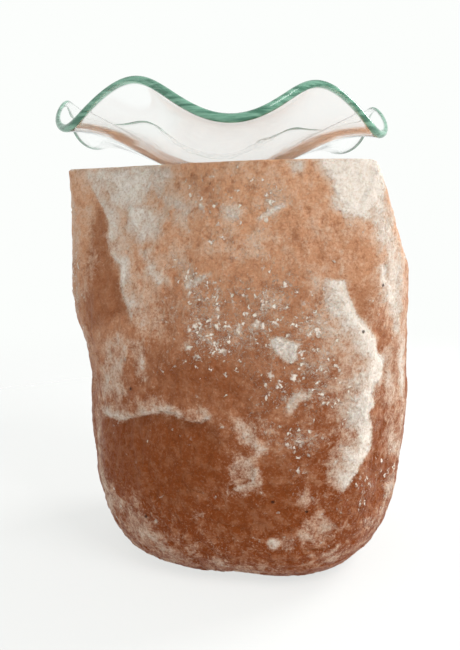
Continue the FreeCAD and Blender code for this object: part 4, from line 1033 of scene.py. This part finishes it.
def sawn_face(recipe):
    """An even pale salmon with fine straight scratches."""
    scratch = recipe.noise(recipe.place((14, 0.5, 0.5)), 1.0, 2, 0.6)
    return recipe.mix(recipe.rise(scratch, 0.35, 0.7), SALT["sawn"], SALT["scratched"])


# %% The salt's recipe
def salt_material():
    """Body with painted light and shade from above, frost, grains, crystals and pits with painted shade
    laid over each other, with relief to match.
    """
    recipe = Recipe(bpy.data.materials.new("rock_salt"))
    at = salt_numbers(recipe)
    body, up = salt_body(recipe, at)
    color, thin, thick = salt_frost(recipe, at, body, up)
    color = salt_grains(recipe, at, color, thick)
    crystals = salt_crystals(recipe, at)
    color = recipe.mix(crystals, color, SALT["crystal"])
    shaded_pits = shaded_salt_pits(recipe)
    # painted shade in the pits
    color = recipe.mix(shaded_pits * 0.8, color, SALT["pit shade"])
    color = recipe.mix(at["sawn"] * 0.85, color, sawn_face(recipe))

    roughness = 0.40 + thin * 0.15 + thick * 0.2 + (at["grain"] - 0.5) * 0.3
    roughness = roughness + at["sawn"] * 0.15 - crystals * 0.15
    recipe.bump(at["haze"], 3.2, 0.7)
    recipe.bump(at["mottle"], 1.2, 0.85)
    recipe.bump(at["grain"] + crystals * 1.2 + thick * 0.8 - shaded_pits * 3, 0.28, 1.0)
    return recipe.finish(
        color, roughness, Subsurface_Weight=0.10, Subsurface_Radius=(1.0, 0.45, 0.25),
        Subsurface_Scale=0.003, Specular_IOR_Level=0.09,
    )


cover(salt, salt_material())
print("salt covered with rock_salt")

# %% [markdown]
# ## The glass dish
# The dish is a round of window glass that was laid over a mould and heated until it slumped. Its
# rim rises and falls six times on the way round, and the front trough is the deepest. It is
# 3 mm thick everywhere, because it was one flat sheet, and its cut edge was melted round. Seen
# through that edge, the glass is green, as all plain window glass is.

# %% Shape of the dish
DISH_RADIUS = 66.0
DISH_CENTRE_X = -6.2
DISH_FOOT = 20.0  # radius of the flat bottom
DISH_RISE = 16.9
DISH_SWELL = 0.15  # how much the wall swells above a straight cone, as a share
RIM_SWAY = 1.3  # how far the rim goes in and out with the waves, mm
SWAY_SHARPNESS = 0.46
TROUGH = 6.8  # half the height of a wave at the rim, mm
TROUGH_SHARPNESS = 0.066
DISH_LEAN = 0.86  # how much lower the right side of the rim is than the middle, mm
DISH_WAVES = 6
DISH_TURN = 271.6  # degrees at which the wave is lowest
GLASS = 3.0
FOOT_SOFTNESS = 0.02
FOOT_ROWS, WALL_ROWS, EDGE_ROWS = 8, 54, 9
DISH_COLUMNS = 400


def dish_underside(share, angles):
    """Points of the underside. Shares under 0 lie on the flat foot, 0 to 1 on the wall.

    With t six times the angle, the rim reaches R + sway (cos t - sharpness cos 2t). The height is
    rise times s, with a soft start at the foot and a slight swell, and the waves grow as s cubed.
    """
    s = np.maximum(share, 0)[:, None]
    flat = 1 + np.minimum(share, 0)[:, None]
    turn = DISH_WAVES * (angles - math.radians(DISH_TURN))[None, :]
    first, second = np.cos(turn), np.cos(2 * turn)
    reach = DISH_RADIUS + RIM_SWAY * (first - SWAY_SHARPNESS * second)
    radius = np.where(share[:, None] < 0, DISH_FOOT * flat, DISH_FOOT + s * (reach - DISH_FOOT))
    soft_start = (1 + FOOT_SOFTNESS) * s / (s + FOOT_SOFTNESS)
    rise = DISH_RISE * s * soft_start * (1 + DISH_SWELL - DISH_SWELL * s**3)
    wave = TROUGH * (TROUGH_SHARPNESS * second - first) - DISH_LEAN * np.cos(angles)[None, :]
    x = DISH_CENTRE_X + radius * np.cos(angles)
    y = radius * np.sin(angles)
    return np.stack([x, y, TOP_Z + rise + s**3 * wave], -1)


def sheet_normals(points):
    """Upward directions square to a sheet of rings, from the neighbours on both sides."""
    along = np.roll(points, -1, axis=1) - np.roll(points, 1, axis=1)
    outward = np.gradient(points, axis=0)
    across = np.cross(outward, along)
    return across / np.linalg.norm(across, axis=-1, keepdims=True)


def dish_skin():
    """The underside from foot to rim, the round edge, and the upper side back to the middle."""
    angles = np.linspace(0, 2 * math.pi, DISH_COLUMNS, endpoint=False)
    foot = np.linspace(-0.999, -0.03, FOOT_ROWS)
    wall = np.linspace(0, 1, WALL_ROWS)
    share = np.concatenate([foot, wall])
    under = dish_underside(share, angles)
    up = sheet_normals(under)
    up[:FOOT_ROWS] = (0, 0, 1)
    upper = under + GLASS * up
    middle = (under[-1] + upper[-1]) / 2
    outward = np.cross(np.roll(under[-1], -1, 0) - np.roll(under[-1], 1, 0), up[-1])
    outward /= np.linalg.norm(outward, axis=-1, keepdims=True)
    swing = np.linspace(-math.pi / 2, math.pi / 2, EDGE_ROWS + 2)[1:-1, None, None]
    edge = middle + GLASS / 2 * (np.sin(swing) * up[-1] + np.cos(swing) * outward)
    rim = np.concatenate([np.zeros(len(under)), np.ones(EDGE_ROWS), np.zeros(len(under))])
    rim[len(under) - 1] = rim[len(under) + EDGE_ROWS] = 0.5
    return np.concatenate([under, edge, upper[::-1]]), np.repeat(rim[:, None], DISH_COLUMNS, 1)


def close_middle(piece):
    """Fills the small rings left open in the middle of both sides with one flat face each."""
    work = bmesh.new()
    work.from_mesh(piece.data)
    bmesh.ops.holes_fill(work, edges=[edge for edge in work.edges if edge.is_boundary], sides=0)
    work.to_mesh(piece.data)
    work.free()


dish_points, dish_rim = dish_skin()
dish = grid_piece("dish_glass_sheet", dish_points, attributes={"rim": dish_rim})
close_middle(dish)
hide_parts("glass_dish")
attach(dish, "dish")
print(f"dish: {dish_points[..., 2].min():.2f} to {dish_points[..., 2].max():.2f} mm high")

# %% [markdown]
# ## Clear glass
# The sheet is almost colourless when light passes straight through it, and green after a longer
# way inside, as at the edge. So the surface is clear, and the colour is put inside the glass as
# absorption: every millimetre takes a little more red and blue than green out of the light. Along
# the melted edge, where the number stored in the mesh is 1, a streaky green shader is mixed in.


# %% The dish's recipe
def dish_material():
    """A clear shader, mixed with a green one along the rim, and faint green absorption inside."""
    recipe = Recipe(bpy.data.materials.new("green_edged_glass"))
    here = recipe.place()
    rim = recipe.stored("rim")
    ripple = recipe.noise(here, 16, 2, 0.5)
    recipe.bump(ripple, 0.12, 0.5)
    sheet = recipe.node(
        "ShaderNodeBsdfPrincipled", {}, Base_Color=paint(255, 255, 255), Roughness=0.0, IOR=1.5,
        Transmission_Weight=1.0, Normal=recipe.bumps,
    )
    streaks = recipe.noise(recipe.warped(recipe.place((9, 9, 1)), 20, 8), 1.2, 4, 0.6)
    green = recipe.mix(recipe.rise(streaks, 0.35, 0.62), paint(66, 124, 99), paint(132, 186, 160))
    edge = recipe.node(
        "ShaderNodeBsdfPrincipled", {}, Base_Color=green, Roughness=0.12, IOR=1.5,
        Normal=recipe.bumps,
    )
    shader = recipe.node("ShaderNodeMixShader", {}, recipe.rise(rim, 0.2, 0.9) * 0.8, sheet, edge)
    inside = recipe.node("ShaderNodeVolumeAbsorption", {}, Color=paint(150, 214, 190), Density=3.0)
    return recipe.output(shader, inside)


cover(dish, dish_material())
print("dish covered with green_edged_glass")

# %% [markdown]
# ## Plain finishes for the fittings
# Inside the bore sit the lampholder, its clamping spring, the cable gland and a small bulb. They
# keep the shapes of the frame. Each kind of stuff gets a recipe: moulded plastic has a fine even
# texture, rolled metal has streaks and dull spots, porcelain is smooth with rare specks.


# %% Recipes for the fittings
def moulded(name, color, roughness=0.42, speckle=0.6):
    """Moulded plastic or rubber: one colour, slightly cloudy, with a fine sparked texture."""
    recipe = Recipe(bpy.data.materials.new(name))
    here = recipe.place()
    cloud = recipe.noise(here, 7, 3, 0.6)
    grain = recipe.noise(here, speckle, 2, 0.6)
    lighter = [min(c * 1.7 + 0.012, 1) for c in color[:3]] + [1.0]
    shade = recipe.mix(recipe.rise(cloud, 0.35, 0.75) * 0.6, color, lighter)
    recipe.bump(grain, 0.04, 0.6)
    return recipe.finish(shade, roughness + (cloud - 0.5) * 0.2 + (grain - 0.5) * 0.1)


def metal(name, color, roughness, stretch, dull=0.5):
    """Rolled or turned metal: fine streaks one way, and darker dull spots."""
    recipe = Recipe(bpy.data.materials.new(name))
    streaks = recipe.noise(recipe.place(stretch), 0.5, 3, 0.6)
    spots = recipe.rise(recipe.noise(recipe.place(), 4, 4, 0.65), 0.5, 0.75)
    darker = [c * 0.55 for c in color[:3]] + [1.0]
    shade = recipe.mix(spots * dull, color, darker)
    recipe.bump(streaks, 0.02, 0.5)
    return recipe.finish(shade, roughness + streaks * 0.14 + spots * 0.2, Metallic=1.0)


def baked_clay(name, color, roughness):
    """Porcelain or dark glass: smooth and even, with a few tiny specks and a soft unevenness."""
    recipe = Recipe(bpy.data.materials.new(name))
    here = recipe.place()
    near = recipe.cells(here, 2.4)
    speck = recipe.rise(near, 0.14, 0.05)
    darker = [c * 0.5 for c in color[:3]] + [1.0]
    recipe.bump(recipe.noise(here, 3, 2, 0.5), 0.05, 0.4)
    return recipe.finish(recipe.mix(speck * 0.5, color, darker), roughness + speck * 0.2)


def blown_glass():
    """Thin clear glass with slight ripples from blowing."""
    recipe = Recipe(bpy.data.materials.new("bulb_blown_glass"))
    ripple = recipe.noise(recipe.place((1, 1, 3)), 9, 2, 0.5)
    recipe.bump(ripple, 0.08, 0.4)
    shade = recipe.mix(ripple, paint(246, 248, 247), paint(252, 253, 252))
    return recipe.finish(shade, 0.0 + ripple * 0.03, IOR=1.5, Transmission_Weight=1.0)


brass = metal("rolled_brass", paint(206, 168, 92), 0.26, (0.6, 0.6, 6))
steel = metal("spring_steel", paint(188, 188, 186), 0.24, (6, 6, 0.6), 0.3)
black_plastic = moulded("black_moulded_plastic", paint(34, 34, 35))
gland_plastic = moulded("gland_nylon", paint(40, 40, 42), 0.5)
rubber = moulded("black_rubber", paint(30, 29, 28), 0.72, 0.9)
porcelain = baked_clay("white_porcelain", paint(232, 228, 218), 0.45)
black_glass = baked_clay("black_insulator_glass", paint(28, 24, 34), 0.18)
solder = metal("grey_solder", paint(150, 150, 150), 0.42, (1, 1, 1), 0.6)
tungsten = metal("drawn_tungsten", paint(98, 98, 102), 0.4, (1, 1, 1), 0.4)
FINISHES = {
    "foot_pad_back_right": rubber, "foot_pad_back_left": rubber,
    "foot_pad_front_left": rubber, "foot_pad_front_right": rubber,
    "gland_nut": gland_plastic, "gland_seal": rubber, "gland_body": gland_plastic,
    "gland_lock_nut": gland_plastic, "holder_cap": black_plastic, "holder_sleeve": black_plastic,
    "ring_nut": black_plastic, "terminal_block": porcelain, "thread_shell": brass,
    "centre_contact": brass, "terminal_left": brass, "terminal_right": brass,
    "terminal_screws": steel, "contact_rivets": brass, "spring_clip": steel,
    "bulb_tip": solder, "cap_insulator": black_glass, "bulb_cap": brass,
    "bulb_glass": blown_glass(), "bulb_stem": blown_glass(), "lead_wires": steel,
    "filament": tungsten, "filament_support": tungsten,
}
for node_name, finish in FINISHES.items():
    cover(frame["nodes"][node_name], finish)
print(f"fittings: {len(FINISHES)} pieces covered")

# %% [markdown]
# ## Floor, background and light
# The photograph has a white background without a visible floor. Here the lamp stands on a pale
# floor that lets most of the white behind it through and keeps under a third of its own shading,
# so the lamp still throws a soft shadow. The light is plain and wide: a large lamp at the upper
# right, a weaker one at the left, and a lamp behind the right side that makes its edge pale.

# %% The floor
BACKDROP = paint(252, 254, 252)
FLOOR_HALF = 3.0  # metres
FLOOR_SHADE = 0.3  # how much of the floor's own shading the camera sees near the lamp
SHADE_NEAR, SHADE_FAR = 250, 620  # that share fades out between these distances, mm


def seen_directly(recipe):
    """1 for rays from the camera, a mirror or through glass, 0 for light bounced off something dull."""
    rays = [recipe.node("ShaderNodeLightPath", {}, output=f"Is {kind} Ray")
            for kind in ("Camera", "Glossy", "Transmission")]
    return rays[0] | rays[1] | rays[2]


def floor_material():
    """White and dull for the light in the room, and mostly clear for whoever looks at it."""
    recipe = Recipe(bpy.data.materials.new("pale_floor"))
    here = recipe.place()
    flat = recipe.node("ShaderNodeVectorMath", {"operation": "LENGTH"}, here, output="Value")
    near = recipe.rise(flat, SHADE_NEAR, SHADE_FAR, 1, 0)
    back = recipe.node("ShaderNodeNewGeometry", {}, output="Backfacing")
    clear = seen_directly(recipe) * (1 - near * (1 - back) * FLOOR_SHADE)
    dull = recipe.node("ShaderNodeBsdfDiffuse", {}, (0.93, 0.93, 0.925, 1.0))
    open_air = recipe.node("ShaderNodeBsdfTransparent", {})
    return recipe.output(recipe.node("ShaderNodeMixShader", {}, clear, dull, open_air))


floor_mesh = bpy.data.meshes.new("floor")
floor_corners = [(-FLOOR_HALF, -FLOOR_HALF, 0), (FLOOR_HALF, -FLOOR_HALF, 0),
                 (FLOOR_HALF, FLOOR_HALF, 0), (-FLOOR_HALF, FLOOR_HALF, 0)]
floor_mesh.from_pydata(floor_corners, [], [(0, 1, 2, 3)])
floor = bpy.data.objects.new("floor", floor_mesh)
bpy.context.collection.objects.link(floor)
cover(floor, floor_material())
print(f"floor: {2 * FLOOR_HALF:.0f} m square")

# %% The white all round
ROOM_LIGHT = 0.54  # strength of the white room as light on the lamp
world = bpy.data.worlds.new("white_room")
room = Recipe(world)
seen = room.node("ShaderNodeBackground", {}, BACKDROP, 1.0)
lighting = room.node("ShaderNodeBackground", {}, (1.0, 1.0, 1.0, 1.0), ROOM_LIGHT)
sky = room.node("ShaderNodeMixShader", {}, seen_directly(room), lighting, seen)
world_output = world.node_tree.nodes.new("ShaderNodeOutputWorld")
world.node_tree.links.new(sky.socket, world_output.inputs["Surface"])
bpy.context.scene.world = world
print(f"room light {ROOM_LIGHT}")

# %% Lamps
LAMPS = {  # place in metres, size in metres, share of full light at the object
    "key": ((0.70, -0.70, 0.95), 0.60, 0.50),
    "fill": ((-0.90, -0.55, 0.45), 0.70, 0.08),
    "edge": ((0.75, 0.35, 0.60), 0.40, 0.70),
}
AIM = np.array([0.0, 0.0, 0.09])
for label, (place, size, share) in LAMPS.items():
    data = bpy.data.lights.new(label, "AREA")
    data.size = size
    away = np.array(place) - AIM
    # A small lamp of P watts gives a surface at distance d the shade P / (pi * pi * d * d).
    data.energy = share * math.pi**2 * (away @ away)
    lamp = bpy.data.objects.new(label, data)
    lamp.location = place
    lamp.rotation_euler = mathutils.Vector(away).to_track_quat("Z", "Y").to_euler()
    bpy.context.collection.objects.link(lamp)
print(f"lamps: {', '.join(LAMPS)}")

# %% [markdown]
# ## Settings
# Colours are shown as they are written, without a film look.

# %% Finish
bpy.context.scene.view_settings.view_transform = "Standard"
